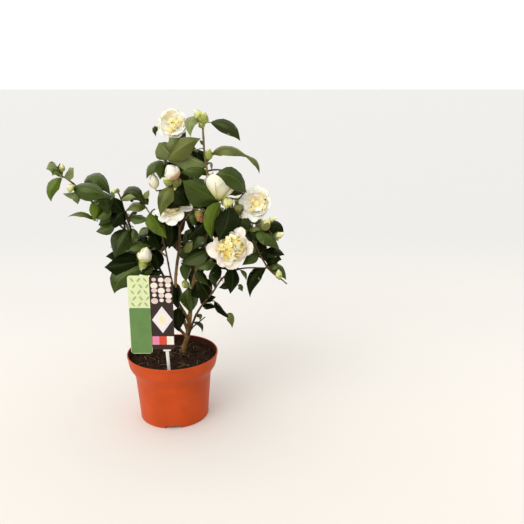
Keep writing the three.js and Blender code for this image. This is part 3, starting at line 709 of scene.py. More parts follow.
petalTints = {  # the blade, its foot, and how far the foot's colour reaches
    "white": ((0.98, 0.945, 0.84), (0.94, 0.86, 0.56), 0.4),
    "blush": ((0.89, 0.82, 0.72), (0.92, 0.82, 0.56), 0.35),
    "cream": ((0.96, 0.885, 0.63), (0.94, 0.82, 0.42), 0.8),
    "yellow": ((0.91, 0.78, 0.30), (0.86, 0.66, 0.14), 0.9),
    "opening": ((0.97, 0.92, 0.72), (0.62, 0.56, 0.13), 0.62),
    "browned": ((0.26, 0.15, 0.04), (0.50, 0.36, 0.10), 0.3),
}
petalNames = list(petalTints)
petalFinishes = []
for name, (tint, foot, reach) in petalTints.items():
    petal = finish("petal_" + name, tint, 0.97, 1.03, 60, (0.5, 0.62), 0.12, 300, **petalSoft)
    petalFinishes.append(addFoot(petal, foot, reach))
petalFinishes.append(finish("calyx", (0.20, 0.26, 0.05), 0.8, 1.2, 140, (0.4, 0.55), 0.15))
calyx = len(petalNames)
petalForm = {"rows": np.array([0.06, 0.2, 0.38, 0.56, 0.73, 0.86, 0.95]),
             "few": np.array([0.08, 0.34, 0.62, 0.86]), "thick": 0.5, "widest": 0.64, "claw": 0.3}


# A petal on its arch: it widens by a sine from its narrow foot and closes in an ellipse. The rims rise by the
# square of the distance across, and ruffle more towards the tip.
def petalShape(foot, mid, tip, face, wide, cup, ruffle, rng, kind, rows=petalForm["rows"], columns=7):
    t = rows[:, None]
    centre, ahead = arch(foot, mid, tip, rows)
    up = unit(face - (ahead @ face)[:, None] * ahead)
    side = np.cross(ahead, up)
    claw, widest = petalForm["claw"], petalForm["widest"]
    half = claw + (1 - claw) * np.sin(np.minimum(t / widest, 1) * math.pi / 2)
    half = wide / 2 * half * np.sqrt(1 - np.clip((t - widest) / (1 - widest), 0, 1) ** 2)
    across = np.linspace(-1, 1, columns)[None, :]
    phase = rng.uniform(0, roundTurn, 3)
    ripple = np.sin(4.2 * across + phase[0]) + 0.6 * np.sin(7.3 * across + phase[1])
    height = cup * across ** 2 * half + ruffle * ripple * t ** 1.6
    uneven = ruffle * np.sin(5 * across + phase[2]) * t ** 3
    upper = centre[:, None] + side[:, None] * (across * half)[..., None] + up[:, None] * height[..., None]
    upper = upper + ahead[:, None] * uneven[..., None]
    under = upper - up[:, None] * (petalForm["thick"] * (1 - across ** 2))[..., None]
    chart = np.stack(np.broadcast_arrays(0.5 + 0.5 * across, t), -1)
    chart = np.concatenate([chart.reshape(-1, 2), chart[:, 1:-1].reshape(-1, 2), [[0.5, 0], [0.5, 1]]])
    return blade(foot, upper, under, tip + up[-1] * height[-1].mean(), kind, kind, chart)


bloomForm = {"deep": 11, "guardLift": 2.5, "guardBelly": 1.5, "sepals": 6, "sepal": 12, "coneFoot": -8.5,
             "coneRise": 0.27}
heartForm = {"core": 0.94, "foot": 0.84, "tip": (0.97, 1.03), "belly": 0.08, "lean": (0.2, 0.5),
             "wide": (0.46, 0.7), "yellow": (0.52, 0.16), "white": (0.06, 0.02), "rimFrom": 0.5, "big": 15}


# Where a bloom is and which way it faces: its middle, the way it looks, its right and its top
def faceOf(bloom):
    look = unit(bloom["looks"])
    right = unit(np.cross([0, 0, 1.0], look))
    centre = seen(*bloom["at"]) if "at" in bloom else np.array(bloom["place"], float)
    return {"centre": centre, "look": look, "right": right, "above": np.cross(look, right)}


# A direction on the bloom's face, so many degrees round from its right
def wayOut(face, degrees):
    return face["right"] * math.cos(math.radians(degrees)) + face["above"] * math.sin(math.radians(degrees))


# A place on the bloom from its middle
def placeOn(face, across, up, forward):
    return face["centre"] + face["right"] * across + face["above"] * up + face["look"] * forward


# Points behind the cone that the guard petals make are brought forward onto it
def inFront(face, points):
    away = points - face["centre"]
    along = away @ face["look"]
    off = np.linalg.norm(away - along[..., None] * face["look"], axis=-1)
    cone = bloomForm["coneFoot"] + bloomForm["coneRise"] * off
    return points + face["look"] * np.maximum(cone - along, 0)[..., None]


# The saucer of guard petals, whose feet lie in three layers
def guardPetals(bloom, face, rng):
    centre, look = face["centre"], face["look"]
    shapes = []
    for k, (degrees, reach, wide) in enumerate(bloom["petals"]):
        out = wayOut(face, degrees)
        foot = centre + out * 3 - look * (bloomForm["deep"] - 1.4 * (k % 3))
        tip = centre + out * reach + look * (rng.uniform(-1, 1) * bloomForm["guardLift"] - 2)
        mid = (foot + tip) / 2 + look * (bloomForm["guardBelly"] + rng.uniform(-1.5, 1.5))
        kind = petalNames.index(rng.choice(bloom["guards"]))
        shapes.append(petalShape(foot, mid, tip, look, wide, 0.14, reach * 0.035, rng, kind))
    return shapes


# Rings of petals from one foot that rise above the guard petals, at uneven steps round the bloom
def innerPetals(bloom, face, rng):
    centre, look = face["centre"], face["look"]
    middleFoot = centre - look * (bloomForm["deep"] - 4)
    shapes = []
    for count, reach, wide, rise in bloom["rings"]:
        start = rng.uniform(0, 360)
        for k in range(count):
            out = wayOut(face, start + 360 * (k + rng.uniform(-0.2, 0.2)) / count)
            foot = middleFoot + out * 2.5
            tip = centre + out * reach * rng.uniform(0.88, 1.05) + look * rise * rng.uniform(0.3, 1)
            mid = (foot + tip) / 2 - look * 1.5 + out * 3
            kind = petalNames.index(rng.choice(bloom["inner"]))
            shapes.append(petalShape(foot, mid, tip, look, wide, 0.2, reach * 0.04, rng, kind))
    return shapes


# A dome of petaloids set round a ball by the golden angle, each leaning over its neighbours. Those on the
# glow's side are yellow more often, and those at the rim are white more often.
def heartPetals(bloom, face, rng, across, up, forward, boss, count):
    look, right, above = face["look"], face["right"], face["above"]
    glow = right * bloom["glow"][0] + above * bloom["glow"][1]
    heart = placeOn(face, across, up, forward)
    turn = np.linspace(0, 2 * math.pi, 20, endpoint=False)
    polar = np.linspace(0.05, math.pi - 0.05, 12)[:, None]
    ring = right * np.cos(turn)[:, None] + above * np.sin(turn)[:, None]
    core = ring[None] * np.sin(polar)[..., None] + look * np.cos(polar)[..., None]
    core = heart + boss * heartForm["core"] * core
    kind = petalNames.index("yellow" if boss > heartForm["big"] else "cream")
    shapes = [capped(inFront(face, core), kind)]
    for k in range(count):
        polar = math.acos(1 - 0.98 * (k + 0.5) / count)
        spin = k * goldenAngle
        side = right * math.cos(spin) + above * math.sin(spin)
        out = look * math.cos(polar) + side * math.sin(polar)
        lean = unit(np.cross(out, rng.normal(0, 1, 3)))
        foot = heart + out * boss * heartForm["foot"]
        tip = heart + out * boss * rng.uniform(*heartForm["tip"])
        tip = tip + lean * boss * rng.uniform(*heartForm["lean"])
        mid = (foot + tip) / 2 + out * boss * heartForm["belly"]
        yellow = heartForm["yellow"][0 if side @ glow > 0.1 else 1]
        white = heartForm["white"][0 if math.cos(polar) < heartForm["rimFrom"] else 1]
        shares = [yellow * (1 - white), (1 - yellow) * (1 - white), white]
        kind = petalNames.index(rng.choice(["yellow", "cream", "white"], p=shares))
        wide = boss * rng.uniform(*heartForm["wide"])
        petal = petalShape(foot, mid, tip, unit(out - lean * 0.4), wide, 0.3, boss * 0.04, rng, kind,
                           petalForm["few"], 5)
        petal["points"] = inFront(face, petal["points"])
        shapes.append(petal)
    return shapes


# A browned spot: five tiny curled petals in a star
def spotPetals(face, rng, across, up, forward):
    look = face["look"]
    spot = placeOn(face, across, up, forward)
    shapes = []
    for k in range(5):
        out = wayOut(face, 72 * k + 10)
        tip = spot + out * 1.7 + look
        shapes.append(petalShape(spot - look * 2, spot + out * 0.8, tip, look, 1.6, 0.2, 0.1, rng,
                                 petalNames.index("browned"), petalForm["few"], 5))
    return shapes


# The sepals behind a bloom, from its stalk out under the guard petals
def calyxPetals(face, rng):
    centre, look, deep = face["centre"], face["look"], bloomForm["deep"]
    shapes = []
    for k in range(bloomForm["sepals"]):
        out = wayOut(face, 360 / bloomForm["sepals"] * k + 20)
        foot = centre - look * (deep + 2.5)
        tip = centre - look * (deep - 3) + out * bloomForm["sepal"]
        shapes.append(petalShape(foot, (foot + tip) / 2 - look * 2, tip, look, 11, 0.2, 0.3, rng, calyx,
                                 petalForm["few"], 5))
    return shapes


# A whole bloom, from the guard petals in to its hearts and back to the calyx
def makeBloom(name, bloom, seed):
    rng = np.random.default_rng(seed)
    face = faceOf(bloom)
    centre, look = face["centre"], face["look"]
    shapes = guardPetals(bloom, face, rng) + innerPetals(bloom, face, rng)
    for heart in bloom["hearts"]:
        shapes += heartPetals(bloom, face, rng, *heart)
    for spot in bloom.get("spots", []):
        shapes += spotPetals(face, rng, *spot)
    shapes += calyxPetals(face, rng)
    makePiece(name + "_petals", shapes, petalFinishes, bloom.get("replaced", ()), 60)
    if "at" in bloom:  # what shows: the petals, and a filled disc behind them out to their tips
        shown.extend(s["points"] for s in shapes)
        spread = np.linspace(0, 1, 40)[:, None, None]
        disc = [reach * 0.95 * wayOut(face, degrees) for degrees, reach, wide in bloom["petals"]]
        shown.append((centre - look * 4 + spread * smoothLine(disc + disc[:1], 240)[None]).reshape(-1, 3))
    return {"foot": centre - look * (bloomForm["deep"] + 2), "ahead": look, "stout": 1.6}


bloomStalks = []
for number, (name, bloom) in enumerate(blooms.items()):
    bloomStalks.append(makeBloom(name, bloom, 500 + number))
print("blooms:", len(blooms))

# The half-open bloom: its foot and the tips of its petals as pixels with depths, and the petals' widths
halfOpen = {"foot": (219, 200, -22), "sepals": 5, "sepal": 12, "fifthTurn": 1.2566, "cup": 0.3, "belly": 7,
            "petals": [(212, 173, -8, 42), (229, 180, -12, 40), (204.5, 178.5, -16, 20),
                       (233.5, 187, -28, 30), (211.5, 175.5, -28, 30), (227, 181, -34, 38),
                       (217, 173, -36, 42)]}


# Petals from one foot that curve out and in again round an axis through the middle of their tips
def makeHalfOpen():
    rng = np.random.default_rng(610)
    foot = seen(*halfOpen["foot"])
    tips = [seen(*place[:3]) for place in halfOpen["petals"]]
    axis = unit(np.mean(tips, axis=0) - foot)
    shapes = []
    for number, (tip, place) in enumerate(zip(tips, halfOpen["petals"])):
        outward = (tip - foot) - ((tip - foot) @ axis) * axis
        start = foot + unit(outward) * (1 + 0.5 * number)
        mid = (start + tip) / 2 + unit(outward) * halfOpen["belly"]
        kind = petalNames.index("opening")
        shapes.append(petalShape(start, mid, tip, -outward, place[3], halfOpen["cup"], 1.0, rng, kind))
    side, other = square(axis)
    for k in range(halfOpen["sepals"]):
        turn = halfOpen["fifthTurn"] * k
        out = side * math.cos(turn) + other * math.sin(turn)
        tip = foot + axis * halfOpen["sepal"] * 0.7 + out * 8
        mid = foot + axis * 2 + out * 6
        shapes.append(petalShape(foot - axis * 2, mid, tip, axis - out, 10, 0.3, 0.2, rng, calyx,
                                 petalForm["few"], 5))
    makePiece("bloom_half_open", shapes, petalFinishes, (), 60)
    shown.extend(s["points"] for s in shapes)
    bloomStalks.append({"foot": foot - axis * 2, "ahead": axis, "stout": 1.4})


makeHalfOpen()

# Buds: base and tip as pixels, depth at both, widest radius, number of scales, the row of tints, and how far
# the scales flare at the tip
buds = {
    "opening": ((176, 178.5), (167.5, 165), (-24, -36), 12.5, 9, "white", 0.1),
    "greenUpper": ((172, 183), (163, 178), (-20, -34), 8, 8, "green", 0),
    "oliveUpper": ((176, 186), (177, 176), (-20, -32), 8.5, 8, "olive", 0),
    "tinyUpper": ((176, 185), (174.5, 190.5), (-18, -30), 3.6, 6, "green", 0),
    "paleLeft": ((155.5, 189), (152, 171.5), (-14, -20), 7.6, 8, "soft", 0.1),
    "creamLow": ((143, 262), (147, 247), (-18, -26), 12, 10, "cream", 0.08),
    "greenLow": ((145, 260), (140.5, 270.5), (-20, -30), 7.6, 8, "green", 0),
    "topPale": ((202, 120), (194.5, 109), (-2, -6), 7, 8, "pale", 0.2),
    "topGreen": ((203, 124), (204, 111.5), (-2, -10), 8.5, 8, "green", 0),
    "topSepal": ((203.5, 128), (199.5, 120), (-2, -8), 5, 6, "green", 0.2),
    "leader": ((208, 160), (209.5, 148), (-2, -6), 6.5, 8, "green", 0),
    "shoulder": ((223.5, 204.5), (233.5, 200.5), (-26, -34), 9.5, 9, "butter", 0),
    "shoulderDark": ((235, 211), (243, 205.5), (-26, -34), 8, 9, "dark", 0.1),
    "orange": ((195.5, 210), (202.5, 223), (-16, -26), 8.5, 9, "orange", 0),
    "lowGreen": ((188, 283), (182, 286.5), (2, -8), 7.5, 8, "green", 0),
    "rightOlive": ((262, 230), (270, 219.5), (-38, -48), 7.8, 9, "moss", 0),
    "rightPeep": ((268, 222), (277.5, 216.5), (-40, -46), 3.6, 6, "pale", 0.1),
    "rightPale": ((276, 237.5), (284, 232.5), (-44, -54), 5, 6, "pale", 0),
    "rightSide": ((279, 279), (278.5, 269), (-50, -54), 5.5, 7, "pale", 0),
    "farTopBud": ((62.5, 172), (61.5, 163), (-42, -46), 4.5, 6, "pale", 0.1),
    "farLowBud": ((73, 189), (67, 186.5), (-42, -50), 6.5, 7, "pale", 0),
    "leftDry": ((118, 193), (117.5, 188), (-14, -15), 3, 6, "olive", 0.3),
    "leftDryPale": ((117, 192), (111, 191), (-14, -22), 3, 5, "pale", 0),
    "spur": ((211, 163), (211.5, 169), (-5, -8), 2, 5, "olive", 0),
}
budFinishes = [
    finish("bud_olive", (0.17, 0.17, 0.035), 0.8, 1.2, 140, (0.4, 0.55), 0.15),
    finish("bud_green", (0.33, 0.38, 0.07), 0.85, 1.15, 140, (0.4, 0.55), 0.15),
    finish("bud_pale", (0.70, 0.70, 0.28), 0.9, 1.1, 120, (0.45, 0.6), 0.12),
    finish("bud_cream", (0.88, 0.84, 0.58), 0.95, 1.05, 120, (0.45, 0.6), 0.12),
    finish("bud_white", (0.90, 0.85, 0.74), 0.95, 1.05, 120, (0.45, 0.6), 0.12),
    finish("bud_brown", (0.34, 0.14, 0.05), 0.7, 1.2, 140, (0.45, 0.6), 0.2),
    finish("bud_orange", (0.37, 0.21, 0.05), 0.7, 1.2, 140, (0.45, 0.6), 0.2),
    finish("bud_tan", (0.60, 0.38, 0.20), 0.85, 1.15, 140, (0.45, 0.6), 0.2),
]
budTints = {  # finish numbers from the outermost scale to the innermost
    "olive": [0, 0, 1, 0, 1, 1, 0, 5, 5],
    "dark": [0, 0, 1, 0, 0, 0, 0, 5, 0],
    "moss": [0, 0, 1, 0, 1, 1, 0, 1, 2],
    "butter": [1, 2, 2, 2, 2, 2, 2, 3, 2],
    "green": [0, 1, 1, 1, 1, 2, 1, 1, 2],
    "pale": [1, 1, 2, 2, 2, 2, 2, 3, 3],
    "cream": [1, 2, 3, 3, 3, 3, 4, 3, 3, 4, 3],
    "soft": [2, 3, 3, 3, 3, 3, 4, 3],
    "white": [1, 7, 6, 4, 4, 4, 4, 4, 4],
    "orange": [1, 0, 6, 6, 5, 6, 6, 6, 5],
}


# A bud: a pointed egg whose radius is a sine of a power of its height, wrapped in overlapping scales set
# round it by the golden angle, the outer ones lower, and flaring at the tip where it opens
def budShapes(base, tip, radius, scales, tints, flare, seed):
    rng = np.random.default_rng(seed)
    axis = unit(tip - base)
    length = np.linalg.norm(tip - base)
    side, other = square(axis)

    # The egg's surface at a height from 0 to 1 and a turn, swollen by a factor
    def surface(height, turn, swell):
        belly = radius * np.sin(math.pi * np.clip(height, 0, 1) ** 0.78) ** 0.72 * swell
        ring = side * np.cos(turn)[..., None] + other * np.sin(turn)[..., None]
        return base + axis * (height * length)[..., None] + ring * belly[..., None]

    height = np.linspace(0.03, 0.96, 8)[:, None]
    around = np.linspace(0, 2 * math.pi, 14, endpoint=False)[None, :]
    height, around = np.broadcast_arrays(height, around)
    shapes = [capped(surface(height, around, 0.86 * np.ones_like(height)), tints[-1])]
    across = np.linspace(-1, 1, 7)[None, :]
    for k in range(scales):
        share = k / (scales - 1)
        top = 0.42 + 0.56 * share
        rows = np.array([0.05, 0.3, 0.58, 0.82, 0.95])[:, None] * top
        spread = (1.25 - 0.25 * share) * np.sqrt(1 - (rows / top) ** 3)
        turn = goldenAngle * k + rng.uniform(-0.1, 0.1) + across * spread
        swell = 1.16 - 0.2 * share + flare * (rows / top) ** 3 + 0.02 * across ** 2
        high = np.broadcast_to(rows, turn.shape)
        upper = surface(high, turn, swell)
        under = surface(high, turn, swell - 0.07)
        foot = base + axis * length * 0.01
        tipSwell = np.array(1.12 - 0.2 * share + flare)
        tipPoint = surface(np.array(top), np.array(goldenAngle * k), tipSwell)
        kind = tints[min(k, len(tints) - 1)]
        shapes.append(blade(foot, upper, under, tipPoint, kind, kind))
    return shapes


budParts = []
budStalks = []
for number, (name, (base, tip, depths, radius, scales, tints, flare)) in enumerate(buds.items()):
    base, tip = seen(*base, depths[0]), seen(*tip, depths[1])
    budParts += budShapes(base, tip, radius, scales, budTints[tints], flare, 700 + number)
    budStalks.append({"foot": base, "ahead": unit(tip - base), "stout": 1.3})
shown.extend(s["points"] for s in budParts)
print("buds that show:", len(buds))

# The crown's masses, as named and placed in the frame: middle, half sizes and how many sprays fill them
masses = {
    "top": ((70, -2, 541), (19, 20, 22), 0),
    "top_right": ((112, -5, 495), (26, 20, 13), 0),
    "top_left": ((19, 4, 524), (30, 28, 34), 2),
    "upper": ((25, -5, 472), (40, 40, 24), 3),
    "middle_left": ((13, -20, 413), (31, 36, 33), 2),
    "far_left": ((-128, -34, 434), (34, 24, 24), 1),
    "left": ((-80, -12, 396), (38, 36, 28), 2),
    "lower_left": ((-60, -14, 314), (44, 38, 38), 3),
    "centre": ((58, -20, 308), (33, 34, 42), 3),
    "shoulder": ((110, -26, 446), (31, 32, 28), 2),
    "middle_right": ((92, -48, 392), (30, 30, 32), 2),
    "right": ((168, -26, 412), (31, 32, 31), 1),
    "lower_right": ((172, -40, 342), (34, 32, 28), 2),
    "low_right": ((108, -32, 275), (23, 24, 18), 1),
    "low": ((30, -16, 232), (24, 26, 28), 1),
    "back_top": ((22, 66, 480), (36, 34, 38), 5),
    "back_left": ((-52, 88, 332), (46, 42, 42), 6),
    "back_middle": ((20, 92, 398), (44, 42, 38), 6),
    "back_low": ((58, 98, 312), (40, 38, 40), 5),
    "back_right": ((128, 74, 380), (42, 38, 42), 6),
}
massNames = list(masses)
massCentres = np.array([masses[n][0] for n in massNames], float)
massHalves = np.array([masses[n][1] for n in massNames], float)

# What shows, as the nearest distance at each pixel: a filling leaf stays behind it and may not reach past it
# into the open sky
nearestShown = np.full((sight["pixels"], sight["pixels"]), np.inf)
hiding = {"along": 19, "across": 7, "behind": 3.0, "rolled": 0.84, "fineAlong": 60, "fineAcross": 31}


# The row and column of the pixel that each point shows at
def pixelOf(points):
    at = np.clip(np.round(pictured(points)).astype(int), 0, sight["pixels"] - 1)
    return at[..., 1], at[..., 0]


# Points all over a leaf's flat outline, or a narrower one for its rolled rims
def outlineOf(leaf, rows, columns, share=1.0):
    t = np.linspace(0.04, 1, rows)
    centre, ahead = arch(leaf["foot"], leaf["mid"], leaf["tip"], t)
    side = np.cross(ahead, leaf["face"]) * leafHalf(t, leaf["wide"] * share)[:, None]
    return (centre[:, None] + side[:, None] * np.linspace(-1, 1, columns)[None, :, None]).reshape(-1, 3)


shown += [outlineOf(leaf, hiding["fineAlong"], hiding["fineAcross"], hiding["rolled"]) for leaf in grown]
for points in shown:
    np.minimum.at(nearestShown, pixelOf(points), reachOf(points))
around = np.min([np.roll(nearestShown, step, axis) for step in (1, -1) for axis in (0, 1)], axis=0)
nearestShown = np.where(np.isinf(nearestShown), around, nearestShown)  # one pixel wider all round


# A leaf is hidden from the picture's side when all its outline and its stalk's root lie behind what shows
def staysHidden(leaf, root):
    points = np.concatenate([outlineOf(leaf, hiding["along"], hiding["across"]), [root]])
    return (reachOf(points) > nearestShown[pixelOf(points)] + hiding["behind"]).all()


stalkForm = {"petiole": 7.0, "foot": 1.55, "shortFoot": 1.05, "tip": 0.75, "long": 14, "straight": 12}


# Stalks: each leaf, bud and bloom is joined to the nearest wood by a smooth line that leaves along the wood
# and arrives along the blade. The nearest come first, so that later ones can branch from the longer stalks.
def joinToWood(targets):
    waiting = list(targets)
    while waiting:
        feet = np.array([w["foot"] - w["ahead"] * 4 for w in waiting])
        gaps = np.linalg.norm(feet[:, None] - wood["points"][None], axis=2)
        which, root = np.unravel_index(gaps.argmin(), gaps.shape)
        target = waiting.pop(which)
        gap = gaps[which, root]
        start = wood["points"][root]
        foot, ahead = target["foot"], target["ahead"]
        reach = min(gap * 0.4, stalkForm["long"])
        heading = wood["headings"][root]
        route = [start]
        if gap > stalkForm["straight"]:
            leave = unit(unit(foot - start) + 0.5 * heading)
            route.append(start + leave * gap * 0.4)
        route.append(foot - ahead * reach * 0.5)
        route.append(foot)
        green = 1 - stalkForm["petiole"] / max(gap, stalkForm["petiole"])
        thick = stalkForm["foot" if gap > stalkForm["long"] else "shortFoot"]
        thick = min(thick, wood["radii"][root] * 0.85) * target.get("stout", 1)
        tip = stalkForm["tip"] * target.get("stout", 1)
        line, radii, share = addShoot(route, thick, tip, green, len(twigShapes))
        keep = share < green
        if gap > stalkForm["long"] and keep.sum() > 2:
            keepWood(line[keep], radii[keep])


targets = [{"foot": leaf["foot"], "ahead": unit(leaf["mid"] - leaf["foot"])} for leaf in grown]
joinToWood(targets + budStalks + bloomStalks)

sprayForm = {"leaves": 7, "apart": 12.0, "leafLength": (54, 72), "leafWide": (0.46, 0.56), "open": 58,
             "openRange": (0.7, 1.25), "droop": 0.2, "droopRange": (0.5, 1.4), "outward": 0.8, "shortest": 30,
             "tries": 5, "shrink": 0.92, "tryTurn": 1.3, "reach": 0.6, "backReach": 0.95, "nearest": 12,
             # the black tint among these also paints shade, and the fresh tint a glow of light through the
             # blade
             "tints": {"black": 0.22, "deep": 0.40, "mid": 0.24, "olive": 0.08, "fresh": 0.06}}
crown = {"axis": (55, 20, 0), "low": (-185, -98, 150), "high": (208, 140, 566)}  # its middle and its bounds
endBud = {"every": 3, "length": 19, "radius": 7.5, "scales": 8, "tints": ["green", "pale", "cream"]}


# A leaf on a spray, the n-th back from its end, set round it in steps of the golden angle and drooping by its
# weight. Each new try is smaller and further round.
def sprayLeaf(n, again, line, share, ends, rng):
    first = n == 0
    at = min(max(1 - n * sprayForm["apart"] / ends, 0.12), 1)
    spot = np.array([np.interp(at, share, line[:, axis]) for axis in range(3)])
    onward = unit(line[-1] - line[-2])
    side, other = square(onward)
    around = n * goldenAngle + again * sprayForm["tryTurn"] + rng.uniform(-0.3, 0.3)
    opened = math.radians(sprayForm["open"] * rng.uniform(*sprayForm["openRange"]) * (0.4 if first else 1))
    ring = side * math.cos(around) + other * math.sin(around)
    ahead = unit(onward * math.cos(opened) + ring * math.sin(opened) - np.array([0, 0, 0.12]))
    size = rng.uniform(*sprayForm["leafLength"]) * (0.75 if first else 1) * sprayForm["shrink"] ** again
    foot = spot + ahead * stalkForm["petiole"]
    sag = np.array([0, 0, -1.0])
    mid = foot + ahead * size * 0.5 + sag * size * 0.03
    tip = foot + ahead * size + sag * size * sprayForm["droop"] * rng.uniform(*sprayForm["droopRange"])
    outward = unit((spot - crown["axis"]) * np.array([1, 1, 0]))
    face = unit(np.array([0, 0, 1.0]) + outward * sprayForm["outward"] + rng.normal(0, 0.25, 3))
    face = unit(face - (face @ ahead) * ahead)
    wide = size * rng.uniform(*sprayForm["leafWide"])
    tint = rng.choice(list(sprayForm["tints"]), p=list(sprayForm["tints"].values()))
    return spot, ahead, {"foot": foot, "mid": mid, "tip": tip, "wide": wide, "tint": tint, "face": face}


rng = np.random.default_rng(41)
fillers = []
spare = 1000  # a seed for each leaf and shoot in its turn

# Filling sprays: from the nearest wood a shoot runs out into its mass, with leaves set round it and, at the
# back, a bud at its end. Their directions are spread by the golden angle, and rise from the first to the
# last. A leaf that would show is tried again.
for name, (centre, half, sprays) in masses.items():
    centre, half = np.array(centre, float), np.array(half, float)
    back = name.startswith("back")
    for k in range(sprays):
        turn = k * goldenAngle + 0.7
        lift = -0.75 + 1.6 * (k + 0.5) / sprays
        way = unit(np.array([math.cos(turn), math.sin(turn), lift]))
        if not back:
            way[1] = abs(way[1])
        goal = centre + half * way * sprayForm["backReach" if back else "reach"]
        root = np.linalg.norm(wood["points"] - goal, axis=1).argmin()
        start, heading = wood["points"][root], wood["headings"][root]
        gap = np.linalg.norm(goal - start)
        if gap < sprayForm["nearest"]:
            continue
        bendPoint = start + unit(unit(goal - start) + 0.5 * heading) * gap * 0.5
        line, radii, share = addShoot([start, bendPoint, goal], min(1.9, wood["radii"][root]), 1.0, 2, spare)
        keepWood(line, radii)
        for n in range(sprayForm["leaves"]):
            for again in range(sprayForm["tries"]):
                spot, ahead, leaf = sprayLeaf(n, again, line, share, max(gap, sprayForm["shortest"]), rng)
                spare += 1
                leaf["seed"] = spare
                ends = np.array([leaf["mid"], leaf["tip"]])
                if (ends > crown["low"]).all() and (ends < crown["high"]).all() and staysHidden(leaf, spot):
                    fillers.append(leaf)
                    addShoot([spot, spot + ahead * 3.5, leaf["foot"]], 1.0, 0.75, -1, spare)
                    break
        if k % endBud["every"] == 0 and back:
            tip = line[-1] + unit(line[-1] - line[-2]) * endBud["length"]
            kind = endBud["tints"][(k // endBud["every"]) % len(endBud["tints"])]
            budParts += budShapes(line[-1], tip, endBud["radius"], endBud["scales"], budTints[kind], 0, spare)
print("filling leaves:", len(fillers))

# Each leaf goes into the piece of the mass that it lies in
allLeaves = grown + fillers
middles = np.array([leaf["mid"] for leaf in allLeaves])
nearness = (((middles[:, None] - massCentres) / massHalves) ** 2).sum(2)
home = nearness.argmin(1)
for number, name in enumerate(massNames):
    shapes = [leafShape(leaf) for leaf, place in zip(allLeaves, home) if place == number]
    makePiece("leaves_" + name, shapes, leafFinishes, ["foliage_" + name])
makePiece("buds", budParts, budFinishes, (), 50)

# A short cut stub stands beside the trunk
stub = smoothLine([(13.4, 16, 110), (12.6, 16, 117), (11.4, 16, 123.4)], 8)
stubTube = woodTube(stub, np.linspace(1.5, 1.3, 8), 10, barkOld, 0.08, (), 9, cutWood)
makePiece("twigs", twigShapes + [stubTube], woodFinishes)
print("leaves:", len(allLeaves), "stalks and shoots:", len(twigShapes))

# The pot: one profile turned round, with shallow drain slots pressed up into its foot
pot = {"height": 127, "topRadius": 85, "bandRadius": 81.5, "bandFoot": 104, "bodyTop": 88,
       "bodyTopRadius": 71.2, "footRadius": 64.7, "rounding": 5, "wall": 2, "lip": 2, "floor": 7.4,
       "slots": 3, "firstSlot": -85, "slotWide": 28, "slotHigh": 5, "slotInner": 50, "slotEdge": 0.35,
       "sides": 180, "sway": 0.12}


# Short arcs between the given corners, each with its own radius, keep the edges of the profile round
def rounded(corners, steps=6):
    p = np.array([corner[:2] for corner in corners], float)
    out = [p[:1]]
    for a, b, c, corner in zip(p[:-2], p[1:-1], p[2:], corners[1:-1]):
        bite = min(corner[2], np.linalg.norm(a - b) / 2.1, np.linalg.norm(c - b) / 2.1)
        start, end = b + unit(a - b) * bite, b + unit(c - b) * bite
        s = np.linspace(0, 1, steps)[:, None]
        out.append(start * (1 - s) ** 2 + 2 * b * s * (1 - s) + end * s ** 2)
    return np.concatenate(out + [p[-1:]])


